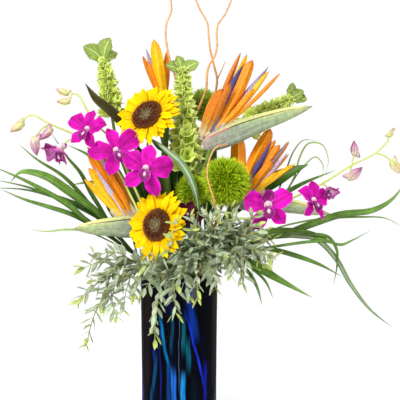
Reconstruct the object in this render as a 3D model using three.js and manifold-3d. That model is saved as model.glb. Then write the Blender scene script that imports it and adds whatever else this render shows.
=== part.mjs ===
// Bird of paradise flowers arranged with sunflowers, orchids and foliage in a tall glass vase of water.
// Millimetres, +Z up. The origin is the centre of the vase's foot, +X is to the right of the
// arrangement and -Y is its front. Every stem runs from its cut end in the water, through the mouth of
// the vase, to its own flower, and the stems lean round each other as in a spiral bunch.
import * as THREE from "three";
import { mergeVertices } from "three/addons/utils/BufferGeometryUtils.js";
import Module from "manifold-3d";

const wasm = await Module();
wasm.setup();

// ---------- driving dimensions ----------
const VASE = { height: 229, rimRadius: 63.5, footRadius: 61.5, wall: 4, floor: 9, edge: 2.5, sides: 30 };
const WATER_LEVEL = 165;
const SPIRAL = 38; // degrees the cut ends turn round the vase from the mouth
const SQUEEZE = 0.92; // how far the cut ends draw in from the mouth
const LIP_Z = 222; // height at which a stem passes the mouth
const CUT_Z = 20; // height of the longest stems' cut ends
const CLEARANCE = 0.3; // gap left where two pieces meet
const LEAF_DEPTH = 0.6; // thickness of a blade, leaf or petal at its middle
const MERGE = 1e-4; // corners nearer than this are one corner
const FLAT = 0.02; // faces that lie this near one plane are one face

const STEM_RADIUS = {
  bird: 6,
  sunflower: 4.8,
  dianthus: 2.2,
  bells: 3.4,
  orchid: 2.3,
  grass: 4.2,
  leaf: 2.6,
  twig: 2,
};

// Places for stems in the mouth, numbered anticlockwise from the right: [ring's radius, places round it].
const MOUTH_RINGS = { outer: [49, 16], middle: [32, 11], inner: [15, 5] };

// ---------- small helpers ----------
const vector = ([x, y, z]) => new THREE.Vector3(x, y, z);
const UP = new THREE.Vector3(0, 0, 1);
const RIGHT = new THREE.Vector3(1, 0, 0);
const FRONT = new THREE.Vector3(0, -1, 0);
const radians = THREE.MathUtils.degToRad;
const mix = THREE.MathUtils.lerp;

// Repeatable random numbers from 0 to 1.
function seeded(seed) {
  let state = seed;
  return () => {
    state = (state * 1664525 + 1013904223) % 4294967296;
    return state / 4294967296;
  };
}

// A direction at right angles to the given one, as near to the hint as it can be.
function square(hint, direction) {
  return hint.clone().addScaledVector(direction, -hint.dot(direction)).normalize();
}

const smooth = (points) => new THREE.CatmullRomCurve3(points, false, "centripetal");

// ---------- solids ----------
// A closed three.js geometry as a solid: shared vertices merged, faces outwards.
function solidFrom(geometry) {
  const bare = geometry.clone();
  bare.deleteAttribute("normal");
  bare.deleteAttribute("uv");
  const merged = mergeVertices(bare, MERGE);
  const corners = merged.index.array;
  const faces = [];
  for (let i = 0; i < corners.length; i += 3) {
    const [a, b, c] = [corners[i], corners[i + 1], corners[i + 2]];
    if (a !== b && b !== c && c !== a) faces.push(a, b, c);
  }
  const build = (list) =>
    new wasm.Manifold(
      new wasm.Mesh({
        numProp: 3,
        vertProperties: merged.attributes.position.array,
        triVerts: new Uint32Array(list),
      }),
    );
  const solid = build(faces);
  return solid.volume() < 0 ? build(faces.reverse()) : solid;
}

const fuse = (solids) => wasm.Manifold.union(solids);

// A solid laid along a curve. Its section is a ring of `sides` points, `width` to each side and `depth`
// to each face: three make a keeled blade, flat on its face, and four a lens. `channel` lifts both
// edges. Pointed ends close to a tip, and blunt ends are flat. `grow` makes it larger all round, and
// gives a thin keeled blade edges with a face of their own.
function sweep(curve, shape, grow) {
  const { side = UP, sides = 3, pointed = true, channel = 0 } = shape;
  const marks = shape.marks ?? Array.from({ length: shape.rings + 1 }, (_, k) => k / shape.rings);
  const rings = marks.length - 1;
  const width = typeof shape.width === "function" ? shape.width : () => shape.width;
  const depth = shape.depth === undefined ? width : () => shape.depth;
  const thin = sides === 3 && shape.depth !== undefined;
  const corners = thin && grow > 0 ? 5 : sides;
  const base = pointed
    ? new THREE.SphereGeometry(1, corners, rings, Math.PI / 2)
    : new THREE.CylinderGeometry(1, 1, 1, corners, rings, false, Math.PI);
  let across = side.clone();
  const stations = marks.map((mark, k) => {
    const tangent = curve.getTangent(mark);
    across = square(across, tangent);
    const point = curve.getPoint(mark);
    if (k === 0) point.addScaledVector(tangent, -grow);
    if (k === rings) point.addScaledVector(tangent, grow);
    return { share: mark, point, across: across.clone(), face: tangent.clone().cross(across) };
  });
  const spots = base.attributes.position;
  for (let i = 0; i < spots.count; i++) {
    const [x, y, z] = [spots.getX(i), spots.getY(i), spots.getZ(i)];
    const down = pointed ? Math.acos(THREE.MathUtils.clamp(y, -1, 1)) / Math.PI : 0.5 - y;
    const k = Math.round(rings * down);
    const reach = Math.hypot(x, z);
    const onEdge = reach > 1e-6;
    const [u, v] = onEdge ? [x / reach, (pointed ? -z : z) / reach] : [0, 0];
    const { share, point, across: aside, face } = stations[k];
    const edge = thin && Math.abs(u) > 0.1;
    const lift = edge ? depth(share) / 2 + Math.sign(v) * grow : v * (depth(share) + grow);
    const spot = point
      .clone()
      .addScaledVector(aside, (edge ? Math.sign(u) : u) * (width(share) + grow))
      .addScaledVector(face, lift + (edge ? channel : 0));
    spots.setXYZ(i, spot.x, spot.y, spot.z);
  }
  return solidFrom(base);
}

// Half width of a lance-shaped blade along its length: `root` of the greatest width at its foot.
const lance = (widest, root = 0.4, at = 0.45, tip = 0.75) => (t) =>
  t < at
    ? widest * mix(root, 1, Math.sin((Math.PI / 2) * (t / at)))
    : widest * Math.cos((Math.PI / 2) * Math.pow((t - at) / (1 - at), 1 / tip));

// Half width that runs evenly from one size to another.
const taper = (from, to) => (t) => mix(from, to, t);

// ---------- placing pieces ----------
const arrangement = new THREE.Group();
const placed = []; // the pieces placed so far, each grown by the clearance

const apart = (a, b) => {
  const [p, q] = [a.boundingBox(), b.boundingBox()];
  return [0, 1, 2].some((i) => p.min[i] > q.max[i] || q.min[i] > p.max[i]);
};

// Adds a piece. It is cut clear of the pieces placed before it where they meet, as a stem is by the petals
// seated on it, and a petal or leaf that the cut leaves loose is dropped.
function place(name, finish, make) {
  let solid = fuse(make(0));
  for (const other of placed) {
    if (!apart(solid, other)) solid = solid.subtract(other);
  }
  const bodies = solid.decompose().sort((a, b) => b.volume() - a.volume());
  const { vertProperties, triVerts } = bodies[0].simplify(FLAT).getMesh();
  const geometry = new THREE.BufferGeometry()
    .setAttribute("position", new THREE.BufferAttribute(vertProperties, 3))
    .setIndex(new THREE.BufferAttribute(triVerts, 1));
  geometry.computeVertexNormals();
  const mesh = new THREE.Mesh(geometry, finish);
  mesh.name = name;
  arrangement.add(mesh);
  placed.push(fuse(make(CLEARANCE)));
}

const finish = (color, roughness, extra = {}) =>
  new THREE.MeshStandardMaterial({ color, roughness, metalness: 0, ...extra });
const GLASS = finish("#0b1a6a", 0.05, { transparent: true, opacity: 0.6 });
const WATER = finish("#7fb6d8", 0.02, { transparent: true, opacity: 0.3 });
const SPATHE = finish("#9bb59a", 0.5);
const ORANGE = finish("#f58a0c", 0.5);
const VIOLET = finish("#5a4a86", 0.45);
const YELLOW = finish("#ffd400", 0.55);
const SEEDS = finish("#4a2412", 0.9);
const STALK = finish("#6f9a3e", 0.6);
const MOSSY = finish("#86b81c", 0.8);
const BELL = finish("#b4d85a", 0.6);
const MAGENTA = finish("#d010b8", 0.5);
const BURGUNDY = finish("#640a38", 0.6);
const BUDDING = finish("#c0ce62", 0.55);
const WILLOW = finish("#cf9a58", 0.7);
const GRASS = finish("#4f8f2c", 0.5);
const DARK_LEAF = finish("#2e3f18", 0.45);
const BROAD_LEAF = finish("#2f6a26", 0.4);
const SAGE = finish("#93ab8c", 0.65);

// ---------- the vase and the stems in it ----------
// A solid turned about +Z from its outline of [radius, height].
function turned(outline, sides) {
  const lathe = new THREE.LatheGeometry(outline.map(([r, z]) => new THREE.Vector2(r, z)), sides);
  return solidFrom(lathe.rotateX(Math.PI / 2));
}

function vaseSolid(grow) {
  const { height, rimRadius, footRadius, wall, floor, edge, sides } = VASE;
  const outline = [
    [0, -grow],
    [footRadius - edge, -grow],
    [footRadius + grow, edge],
    [rimRadius + grow, height - edge / 2],
    [rimRadius - wall / 2, height + grow],
    [rimRadius - wall - grow, height - edge / 2],
    [footRadius - wall - grow, floor + edge + grow],
    [footRadius - wall - edge - grow, floor + grow],
    [0, floor + grow],
  ];
  return turned(outline, sides);
}

function waterSolid() {
  const { rimRadius, footRadius, wall, floor, edge, height, sides } = VASE;
  const wallAt = (z) => mix(footRadius, rimRadius, z / height) - wall - 2 * CLEARANCE;
  const outline = [
    [0, floor + CLEARANCE],
    [footRadius - wall - edge - 2 * CLEARANCE, floor + CLEARANCE],
    [wallAt(floor + edge), floor + edge + CLEARANCE],
    [wallAt(WATER_LEVEL), WATER_LEVEL],
    [0, WATER_LEVEL],
  ];
  return turned(outline, sides);
}

// A place in the mouth, from its ring and its number round it.
function mouthPlace([ring, slot]) {
  const [radius, count] = MOUTH_RINGS[ring];
  const angle = (2 * Math.PI * slot) / count;
  return new THREE.Vector3(radius * Math.cos(angle), radius * Math.sin(angle), 0);
}

// Where a stem stands at a height inside the vase, from its place in the mouth.
function inVase(seat, z) {
  const atMouth = mouthPlace(seat);
  const atFoot = atMouth.clone().applyAxisAngle(UP, radians(SPIRAL)).multiplyScalar(SQUEEZE);
  return atMouth.lerp(atFoot, (VASE.height - z) / VASE.height).setZ(z);
}

// A stem's line from its cut end to its flower, straight as far as the mouth, and the marks at which
// its solid bends.
function stemLine(seat, way, perSpan = 2) {
  const points = [inVase(seat, CUT_Z), inVase(seat, LIP_Z), ...way.map(vector)];
  const spans = points.length - 1;
  const marks = [0, 1 / spans];
  for (let k = perSpan + 1; k <= spans * perSpan; k++) marks.push(k / (spans * perSpan));
  return { curve: smooth(points), marks };
}

// A stem that tapers from `radius` to `tip`.
function stem(seat, way, radius, grow, { sides = 5, perSpan = 2, tip = radius } = {}) {
  const { curve, marks } = stemLine(seat, way, perSpan);
  return sweep(curve, { side: FRONT, width: taper(radius, tip), sides, marks, pointed: false }, grow);
}

// ---------- bird of paradise ----------
const SPATHE_WIDTH = 9.5; // half width of the boat across its beak
const SEPAL_DEPTH = 0.9;
const TONGUE_DEPTH = 1.8;
const SOCKET = 7; // how deep florets sit in the boat's upper edge
const BOAT = [0, 0.95, 1, 0.92, 0.76, 0.54, 0.28, 0]; // height along the boat, as a share of the greatest
const TONGUE = [0.4, 0.45, 0.55, 1, 0.7, 0.4]; // width along a tongue, as a share of its head's
const SHEATH = { before: 5, after: 7, width: 4.5, depth: 8 }; // it reaches past the first and last floret
const SLIT = { gap: 9, end: 0.86, sag: 1.5, drop: 0.52, width: 0.8, depth: 3 };

// The boat's own line: from its blunt back end to its tip, bowed a little upwards.
function boatLine({ back, tip, bow }) {
  const [a, b] = [vector(back), vector(tip)];
  const rise = square(UP, b.clone().sub(a).normalize());
  return smooth([a, a.clone().lerp(b, 0.5).addScaledVector(rise, bow), b]);
}

// A point on the boat's upper edge, so many millimetres from its back end.
function upperEdge(boat, along) {
  const line = boatLine(boat);
  const share = along / line.getLength();
  const rise = square(UP, line.getTangentAt(share));
  return line.getPointAt(share).addScaledVector(rise, boat.height * 0.95);
}

// A sepal or tongue from the boat's edge to its tip, bowed to one side by `bow` of its length.
function petalLine(boat, { root, tip, bow = 0.03 }) {
  const end = vector(tip);
  const start = upperEdge(boat, root);
  const lean = end.clone().sub(start);
  const outward = square(FRONT, lean.clone().normalize());
  start.addScaledVector(lean.clone().normalize(), -SOCKET);
  return smooth([start, start.clone().lerp(end, 0.5).addScaledVector(outward, bow * lean.length()), end]);
}

function sepal(boat, spec, grow) {
  const line = petalLine(boat, spec);
  const across = square(RIGHT, line.getTangent(0));
  const side = across.applyAxisAngle(line.getTangent(0), radians(spec.roll ?? 0));
  const shape = { side, width: lance(spec.width, 0.3, 0.6, 1), depth: SEPAL_DEPTH, sides: 4, rings: 4 };
  return sweep(line, shape, grow);
}

// An arrow-shaped tongue: a narrow shaft, a barbed head two thirds of the way up and a sharp tip.
function tongue(boat, spec, grow) {
  const line = petalLine(boat, spec);
  const rings = TONGUE.length;
  const width = (t) => spec.width * TONGUE[Math.min(Math.round(t * rings), rings - 1)];
  return sweep(line, { side: RIGHT, width, depth: TONGUE_DEPTH, sides: 4, rings }, grow);
}

// The pale sheath that holds the florets' feet together in the boat's slit.
function sheath(boat, grow) {
  const roots = boat.sepals.map((s) => s.root);
  const [first, last] = [Math.min(...roots) - SHEATH.before, Math.max(...roots) + SHEATH.after];
  const line = smooth([first, (first + last) / 2, last].map((along) => upperEdge(boat, along)));
  const width = lance(SHEATH.width, 0.8, 0.4, 1);
  return sweep(line, { side: FRONT, width, depth: SHEATH.depth, sides: 4, rings: 3 }, grow);
}

// The boat itself: a round body along its line, narrowed across the beak about its own middle plane.
function spathe(boat, grow) {
  const { height } = boat;
  const rings = BOAT.length - 1;
  const width = (t) => height * BOAT[Math.round(t * rings)];
  const round = sweep(boatLine(boat), { side: FRONT, sides: 8, rings, width }, grow);
  const [a, b] = [vector(boat.back), vector(boat.tip)];
  const along = b.clone().sub(a).normalize();
  const across = square(FRONT, along);
  const narrow = new THREE.Matrix4().makeBasis(along, across, along.clone().cross(across));
  narrow.setPosition(a);
  const squeeze = new THREE.Matrix4().makeScale(1, (SPATHE_WIDTH + grow) / (height + grow), 1);
  const whole = narrow.clone().multiply(squeeze).multiply(narrow.clone().invert());
  return round.transform(whole.elements);
}

// The slit along the boat's upper edge in front of the florets.
function slit(boat, grow) {
  const length = boatLine(boat).getLength();
  const start = Math.max(...boat.sepals.map((s) => s.root)) + SLIT.gap;
  const points = [0, 0.5, 1].map((t) => upperEdge(boat, mix(start, length * SLIT.end, t)));
  points[1].z -= SLIT.sag;
  points[2].z -= boat.height * SLIT.drop;
  const width = SLIT.width - grow / 2;
  return sweep(smooth(points), { side: FRONT, width, depth: SLIT.depth, sides: 4, rings: 3 }, 0);
}

function birdOfParadise(name, boat) {
  boat.tongues.forEach((spec, i) => {
    place(`${name}_tongue_${i + 1}`, VIOLET, (grow) => [tongue(boat, spec, grow)]);
  });
  place(`${name}_sepals`, ORANGE, (grow) => [
    sheath(boat, grow),
    ...boat.sepals.map((spec) => sepal(boat, spec, grow)),
  ]);
  place(`${name}_spathe_stem`, SPATHE, (grow) => [
    spathe(boat, grow).subtract(slit(boat, grow)),
    stem(boat.seat, [...boat.way, boat.neck], STEM_RADIUS.bird, grow),
  ]);
}

// Each boat runs from its back end to its tip. `neck` is where the stem's line ends inside the boat.
const BIRD_RIGHT_HIGH = {
  seat: ["inner", 0],
  way: [[24, -22, 300], [34, -40, 375]],
  neck: [56, -50, 446],
  back: [43, -50, 443],
  tip: [217, -42, 503],
  bow: 8,
  height: 13,
  sepals: [
    { root: 9, tip: [70, -68, 529], width: 12.5 },
    { root: 18, tip: [82, -74, 538], width: 5.5 },
    { root: 20, tip: [101, -32, 590], width: 5 },
    { root: 27, tip: [110, -36, 585], width: 6 },
    { root: 32, tip: [117, -60, 574], width: 8.5 },
    { root: 44, tip: [146, -50, 558], width: 5.5 },
    { root: 51, tip: [164, -56, 555], width: 4.5, bow: 0.06 },
  ],
  tongues: [
    { root: 25, tip: [104, -47, 569], width: 6.5 },
    { root: 40, tip: [144, -40, 564], width: 7.5 },
  ],
};
const BIRD_RIGHT_LOW = {
  seat: ["middle", 10],
  way: [[52, -20, 275], [78, -20, 322]],
  neck: [98, -20, 350],
  back: [90, -21, 350],
  tip: [252, -8, 326],
  bow: 6,
  height: 13,
  sepals: [
    { root: 9, tip: [93, -16, 452], width: 10 },
    { root: 15, tip: [150, -24, 465], width: 10 },
    { root: 19, tip: [158, -28, 447], width: 5 },
    { root: 23, tip: [165, -32, 438], width: 6.5 },
    { root: 29, tip: [181, -20, 444], width: 4 },
    { root: 33, tip: [179, -38, 423], width: 3.5 },
    { root: 38, tip: [189, -40, 408], width: 5.5 },
  ],
  tongues: [
    { root: 17, tip: [156, -10, 450], width: 5 },
    { root: 26, tip: [177, -8, 443], width: 5 },
    { root: 31, tip: [178, -29, 426], width: 6 },
  ],
};
const BIRD_LEFT = {
  seat: ["middle", 6],
  way: [[-38, -34, 262]],
  neck: [-58, -52, 303],
  back: [-46, -54, 312],
  tip: [-168, -60, 304],
  bow: 0,
  height: 17,
  sepals: [
    { root: 28, tip: [-104, -50, 400], width: 6 },
    { root: 31, tip: [-131, -42, 441], width: 5 },
    { root: 36, tip: [-147, -50, 436], width: 7 },
    { root: 40, tip: [-146, -50, 424], width: 6.5 },
    { root: 45, tip: [-144, -66, 402], width: 8.5 },
    { root: 51, tip: [-152, -56, 384], width: 6 },
  ],
  tongues: [
    { root: 33, tip: [-141, -58, 449], width: 5 },
    { root: 42, tip: [-135, -80, 408], width: 4 },
  ],
};
const BIRD_TOP = {
  seat: ["inner", 2],
  way: [[-19, 16, 300], [-25, 18, 400]],
  neck: [-20, 0, 482],
  back: [-20, -12, 482],
  tip: [-58, 128, 500],
  bow: 6,
  height: 13,
  sepals: [
    { root: 14, tip: [-60, 4, 586], width: 6 },
    { root: 19, tip: [-41, -6, 612], width: 10 },
    { root: 27, tip: [-20, 26, 596], width: 7 },
    { root: 34, tip: [-46, 52, 590], width: 7 },
  ],
  tongues: [
    { root: 23, tip: [-54, 10, 597], width: 6.5 },
  ],
};

// ---------- sunflowers ----------
const SUNFLOWER = {
  disc: 26, dome: 8.5,
  rays: 21, rayWidth: 7.6, rayCup: 0.16,
  plate: 5, cup: 13, bracts: 7,
};

// Axes of a flower that faces along `facing`: across it to the right, up its face, and out of it.
function faceAxes(facing) {
  const out = vector(facing).normalize();
  const right = UP.clone().cross(out).normalize();
  return { out, right, rise: out.clone().cross(right) };
}

// A direction outwards on a flower's face, and points measured along it and up from the face.
function spoke(centre, { out, right, rise }, turn) {
  const outward = right.clone().multiplyScalar(Math.cos(turn)).addScaledVector(rise, Math.sin(turn));
  const spot = (along, up) => vector(centre).addScaledVector(outward, along).addScaledVector(out, up);
  return { outward, spot };
}

// Moves a geometry made about +Z to a flower's place and facing.
function onFace(geometry, centre, { out, right, rise }) {
  const matrix = new THREE.Matrix4().makeBasis(right, rise, out).setPosition(vector(centre));
  return solidFrom(geometry.applyMatrix4(matrix));
}

// Rings of the seed disc from its edge to its dimpled middle: [share of its radius, share of its dome].
const DISC_RINGS = [[0.97, 0], [1, 0.4], [0.8, 0.85], [0.5, 1], [0.24, 0.8]];
const DISC_MIDDLE = 0.7;
const SEED = { height: 1, count: 9, pitch: 7 }; // raised points round a ring, and from ring to ring

// The domed seed disc, with its florets as points raised and sunk in rings that turn against each other.
function seedDisc({ centre, facing }, grow) {
  const { disc, dome } = SUNFLOWER;
  const outline = [
    [0, -grow],
    ...DISC_RINGS.map(([r, h]) => [disc * r + grow, dome * h + (h ? grow : -grow)]),
    [0, dome * DISC_MIDDLE + grow],
  ].map(([r, h]) => new THREE.Vector2(r, h));
  const lathe = new THREE.LatheGeometry(outline, 2 * SEED.count).rotateX(Math.PI / 2);
  const spots = lathe.attributes.position;
  for (let i = 0; i < spots.count; i++) {
    const [x, y, z] = [spots.getX(i), spots.getY(i), spots.getZ(i)];
    const radius = Math.hypot(x, y);
    if (radius < 1 || z < 1) continue;
    const raised = Math.cos(SEED.count * Math.atan2(y, x) + (Math.PI * radius) / SEED.pitch);
    spots.setZ(i, z + SEED.height * (grow ? 1 : raised));
  }
  return onFace(lathe, centre, faceAxes(facing));
}

// A plate behind the disc with two ranks of ray petals round it, the back rank lower and flatter.
function rayPetals({ centre, facing, radius }, grow) {
  const { disc, rays, rayWidth, rayCup, plate } = SUNFLOWER;
  const axes = faceAxes(facing);
  const random = seeded(radius);
  const plateRadius = disc * 0.9 + grow;
  const plateShape = new THREE.CylinderGeometry(plateRadius, plateRadius, plate + 2 * grow, 9);
  plateShape.rotateX(Math.PI / 2).translate(0, 0, -plate / 2 - CLEARANCE);
  const petals = Array.from({ length: rays }, (_, i) => {
    const { outward, spot } = spoke(centre, axes, (2 * Math.PI * (i + 0.3 * random())) / rays);
    const back = i % 2;
    const reach = radius * (0.92 + 0.1 * random());
    const lift = rayCup * (reach - disc) * (back ? 0.3 : 1);
    const line = smooth([
      spot(disc * 0.78, -1.8 - 2.2 * back),
      spot(mix(disc, reach, 0.45), lift * 0.7 - 1.2 - 2.6 * back),
      spot(reach, lift - 1.5 * back),
    ]);
    const width = lance(rayWidth, 0.5, 0.5, 0.9);
    const side = axes.out.clone().cross(outward);
    return sweep(line, { side, width, depth: LEAF_DEPTH, marks: [0, 0.32, 0.68, 1] }, grow);
  });
  return [onFace(plateShape, centre, axes), ...petals];
}

// The green back of the head with its pointed bracts, and the stem.
function sunflowerGreen({ seat, way, centre, facing }, grow) {
  const { disc, plate, cup, bracts } = SUNFLOWER;
  const axes = faceAxes(facing);
  const [wide, narrow] = [disc * 0.84 + grow, STEM_RADIUS.sunflower + grow];
  const cone = new THREE.CylinderGeometry(wide, narrow, cup + 2 * grow, 8);
  cone.rotateX(Math.PI / 2).translate(0, 0, -plate - 2.5 * CLEARANCE - cup / 2);
  const points = Array.from({ length: bracts }, (_, i) => {
    const { outward, spot } = spoke(centre, axes, (2 * Math.PI * (i + 0.5)) / bracts);
    const line = smooth([
      spot(disc * 0.5, -plate - 5),
      spot(disc * 1.05, -plate - 4),
      spot(disc * 1.5, -plate - 1),
    ]);
    const side = axes.out.clone().cross(outward);
    return sweep(line, { side, width: lance(8, 0.7, 0.3), depth: LEAF_DEPTH, rings: 3 }, grow);
  });
  const behind = (depth) => vector(centre).addScaledVector(axes.out, -depth).toArray();
  return [
    onFace(cone, centre, axes),
    ...points,
    stem(seat, [...way, behind(4 * cup), behind(plate + cup * 0.7)], STEM_RADIUS.sunflower, grow),
  ];
}

const SUNFLOWERS = {
  sunflower_high: {
    centre: [-49, -64, 487], facing: [-0.42, -0.74, 0.52], radius: 61,
    seat: ["inner", 3], way: [[-14, -20, 300]],
  },
  sunflower_low: {
    centre: [-32, -104, 314], facing: [-0.56, -0.79, 0.2], radius: 60,
    seat: ["middle", 8], way: [[-2, -46, 262]],
  },
};

function sunflower(name, spec) {
  place(`${name}_disc`, SEEDS, (grow) => [seedDisc(spec, grow)]);
  place(`${name}_rays`, YELLOW, (grow) => rayPetals(spec, grow));
  place(`${name}_stem`, STALK, (grow) => sunflowerGreen(spec, grow));
}

// ---------- mossy dianthus heads ----------
const DIANTHUS_CORE = 0.7; // radius of the ball that the needles stand on, as a share of the head's

// A ball of green needles on a thin stem: each face of the core is drawn out to one three-sided needle.
function dianthusHead({ seat, way, centre, radius, detail }, grow) {
  const core = new THREE.IcosahedronGeometry(radius * DIANTHUS_CORE + grow, detail).attributes.position;
  const random = seeded(radius);
  const corners = [];
  for (let i = 0; i < core.count; i += 3) {
    const face = [0, 1, 2].map((k) => new THREE.Vector3().fromBufferAttribute(core, i + k));
    const reach = radius * (0.9 + 0.2 * random()) + grow;
    const tip = face[0].clone().add(face[1]).add(face[2]).setLength(reach);
    for (const k of [0, 1, 2]) corners.push(face[k], face[(k + 1) % 3], tip);
  }
  const ball = new THREE.BufferGeometry().setFromPoints(corners).translate(...centre);
  const foot = [centre[0], centre[1], centre[2] - radius * 0.5];
  return [solidFrom(ball), stem(seat, [...way, foot], STEM_RADIUS.dianthus, grow, { sides: 4 })];
}

const DIANTHUS_HEADS = {
  dianthus_right: {
    centre: [75, -72, 381], radius: 39, detail: 2,
    seat: ["middle", 9], way: [[52, -52, 290]],
  },
  dianthus_middle: {
    centre: [22, -70, 366], radius: 22, detail: 1,
    seat: ["inner", 4], way: [[16, -40, 280]],
  },
  dianthus_back: {
    centre: [44, 8, 504], radius: 24, detail: 1,
    seat: ["middle", 1], way: [[34, 10, 300], [42, 8, 420]],
  },
};

// ---------- bells of Ireland ----------
const BELL_SPACING = 21.5; // from whorl to whorl down the spike
// Radius and height round a bell from its foot to its mouth and back inside, over the bell's size.
const BELL_OUTLINE = [[0, 0], [0.42, 0.5], [0.86, 1.15], [0, 0.6]];
const BELL_FOOT = 0.6; // distance of a bell's foot from the middle of the stem
const BELLS_ROUND = 3; // bells in a whorl, each whorl turned half a step from the last

function bellSpike({ seat, way, whorls, radius, leaves }, grow) {
  const { curve } = stemLine(seat, way);
  const length = curve.getLength();
  const parts = [stem(seat, way, STEM_RADIUS.bells, grow, { sides: 4, tip: 2.2 })];
  for (let j = 0; j < whorls; j++) {
    const at = 1 - (8 + j * BELL_SPACING) / length;
    const [spot, tangent] = [curve.getPointAt(at), curve.getTangentAt(at)];
    const size = radius * mix(0.6, 1, j / whorls);
    for (let k = 0; k < BELLS_ROUND; k++) {
      const turn = (k * 2 + (j % 2)) * (Math.PI / BELLS_ROUND) + 0.3;
      const outward = square(FRONT, tangent).applyAxisAngle(tangent, turn);
      const lean = outward.clone().multiplyScalar(0.9).addScaledVector(tangent, 0.43).normalize();
      const outline = BELL_OUTLINE.map(([r, h], i) => {
        const wall = i === 1 || i === 2 ? grow : 0;
        return new THREE.Vector2(size * r + wall, size * h + (i > 1 ? grow : -grow));
      });
      const bell = new THREE.LatheGeometry(outline, 4);
      bell.applyQuaternion(new THREE.Quaternion().setFromUnitVectors(new THREE.Vector3(0, 1, 0), lean));
      const foot = spot.clone().addScaledVector(lean, BELL_FOOT);
      parts.push(solidFrom(bell.translate(...foot.toArray())));
    }
  }
  const [top, tangent] = [curve.getPointAt(1), curve.getTangentAt(1)];
  for (const [turn, lean, reach] of leaves) {
    const outward = square(FRONT, tangent).applyAxisAngle(tangent, radians(turn));
    const aim = tangent.clone().lerp(outward, lean / 90).normalize();
    const line = smooth([
      top.clone().addScaledVector(tangent, -3),
      top.clone().addScaledVector(aim, reach * 0.5),
      top.clone().addScaledVector(aim, reach).addScaledVector(outward, reach * 0.12),
    ]);
    const width = lance(reach * 0.3, 0.1, 0.55, 1);
    const side = tangent.clone().cross(outward);
    parts.push(sweep(line, { side, width, depth: LEAF_DEPTH, rings: 3 }, grow));
  }
  return parts;
}

const BELL_SPIKES = {
  bells_left: {
    seat: ["middle", 4],
    way: [
      [-62, 12, 330], [-100, 8, 430], [-111, 6, 490], [-118, 5, 540], [-125, 5, 583],
    ],
    whorls: 5, radius: 12, leaves: [[80, 28, 33], [-75, 47, 34], [110, 75, 24]],
  },
  bells_middle: {
    seat: ["inner", 1],
    way: [
      [10, -12, 300], [10, -34, 380], [12, -44, 430], [10, -38, 480], [8, -28, 530], [6, -22, 562],
    ],
    whorls: 6, radius: 13.5, leaves: [[100, 60, 26], [-85, 65, 24], [-60, 20, 22]],
  },
  bells_right: {
    seat: ["outer", 2],
    way: [
      [52, 40, 310], [88, 36, 420], [118, 29, 478], [158, 29, 506], [192, 31, 528],
    ],
    whorls: 5, radius: 12, leaves: [[75, 35, 24], [-95, 45, 22], [0, 15, 24]],
  },
};

// ---------- orchids ----------
// Angles round the face, clockwise from the top, of each petal: [turn, share of length, share of width].
const TEPALS = [[0, 0.95, 0.24], [66, 1, 0.36], [-66, 1, 0.36], [142, 0.92, 0.26], [-142, 0.92, 0.26]];

function orchidBloom({ centre, facing, size, open = 1, roll = 0 }, grow) {
  const { out, right, rise } = faceAxes(facing);
  const middle = vector(centre);
  const turnedBy = (turn) => {
    const angle = radians(turn + roll);
    return rise.clone().multiplyScalar(Math.cos(angle)).addScaledVector(right, Math.sin(angle));
  };
  const spot = (outward, along, up) =>
    middle.clone().addScaledVector(outward, along * size).addScaledVector(out, up * size);
  const fold = 1 - open;
  const petals = TEPALS.map(([turn, length, width]) => {
    const outward = turnedBy(turn);
    const line = smooth([
      spot(outward, 0.04, 0),
      spot(outward, (0.55 - 0.3 * fold) * length, 0.08 + 0.35 * fold),
      spot(outward, (1 - 0.65 * fold) * length, 0.02 + 0.85 * fold),
    ]);
    const blade = lance(size * width, 0.3, 0.55, 0.85);
    const shape = { width: blade, depth: LEAF_DEPTH, marks: [0, 0.3, 0.68, 1], channel: size * 0.03 };
    return sweep(line, { side: out.clone().cross(outward), ...shape }, grow);
  });
  const down = turnedBy(180);
  const lipLine = smooth([spot(down, 0.05, 0.05), spot(down, 0.18, 0.3), spot(down, 0.46, 0.34)]);
  const lipShape = { width: lance(size * 0.2, 0.3, 0.55, 0.9), depth: 1, rings: 3, channel: size * 0.06 };
  const lip = sweep(lipLine, { side: out.clone().cross(down), ...lipShape }, grow);
  const columnLine = smooth([spot(down, -0.02, -0.1), spot(down, -0.04, 0.08), spot(down, 0.04, 0.26)]);
  const columnShape = { width: lance(size * 0.14, 1, 0.4, 1.2), sides: 4, rings: 3 };
  return [...petals, lip, sweep(columnLine, { side: right, ...columnShape }, grow)];
}

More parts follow.
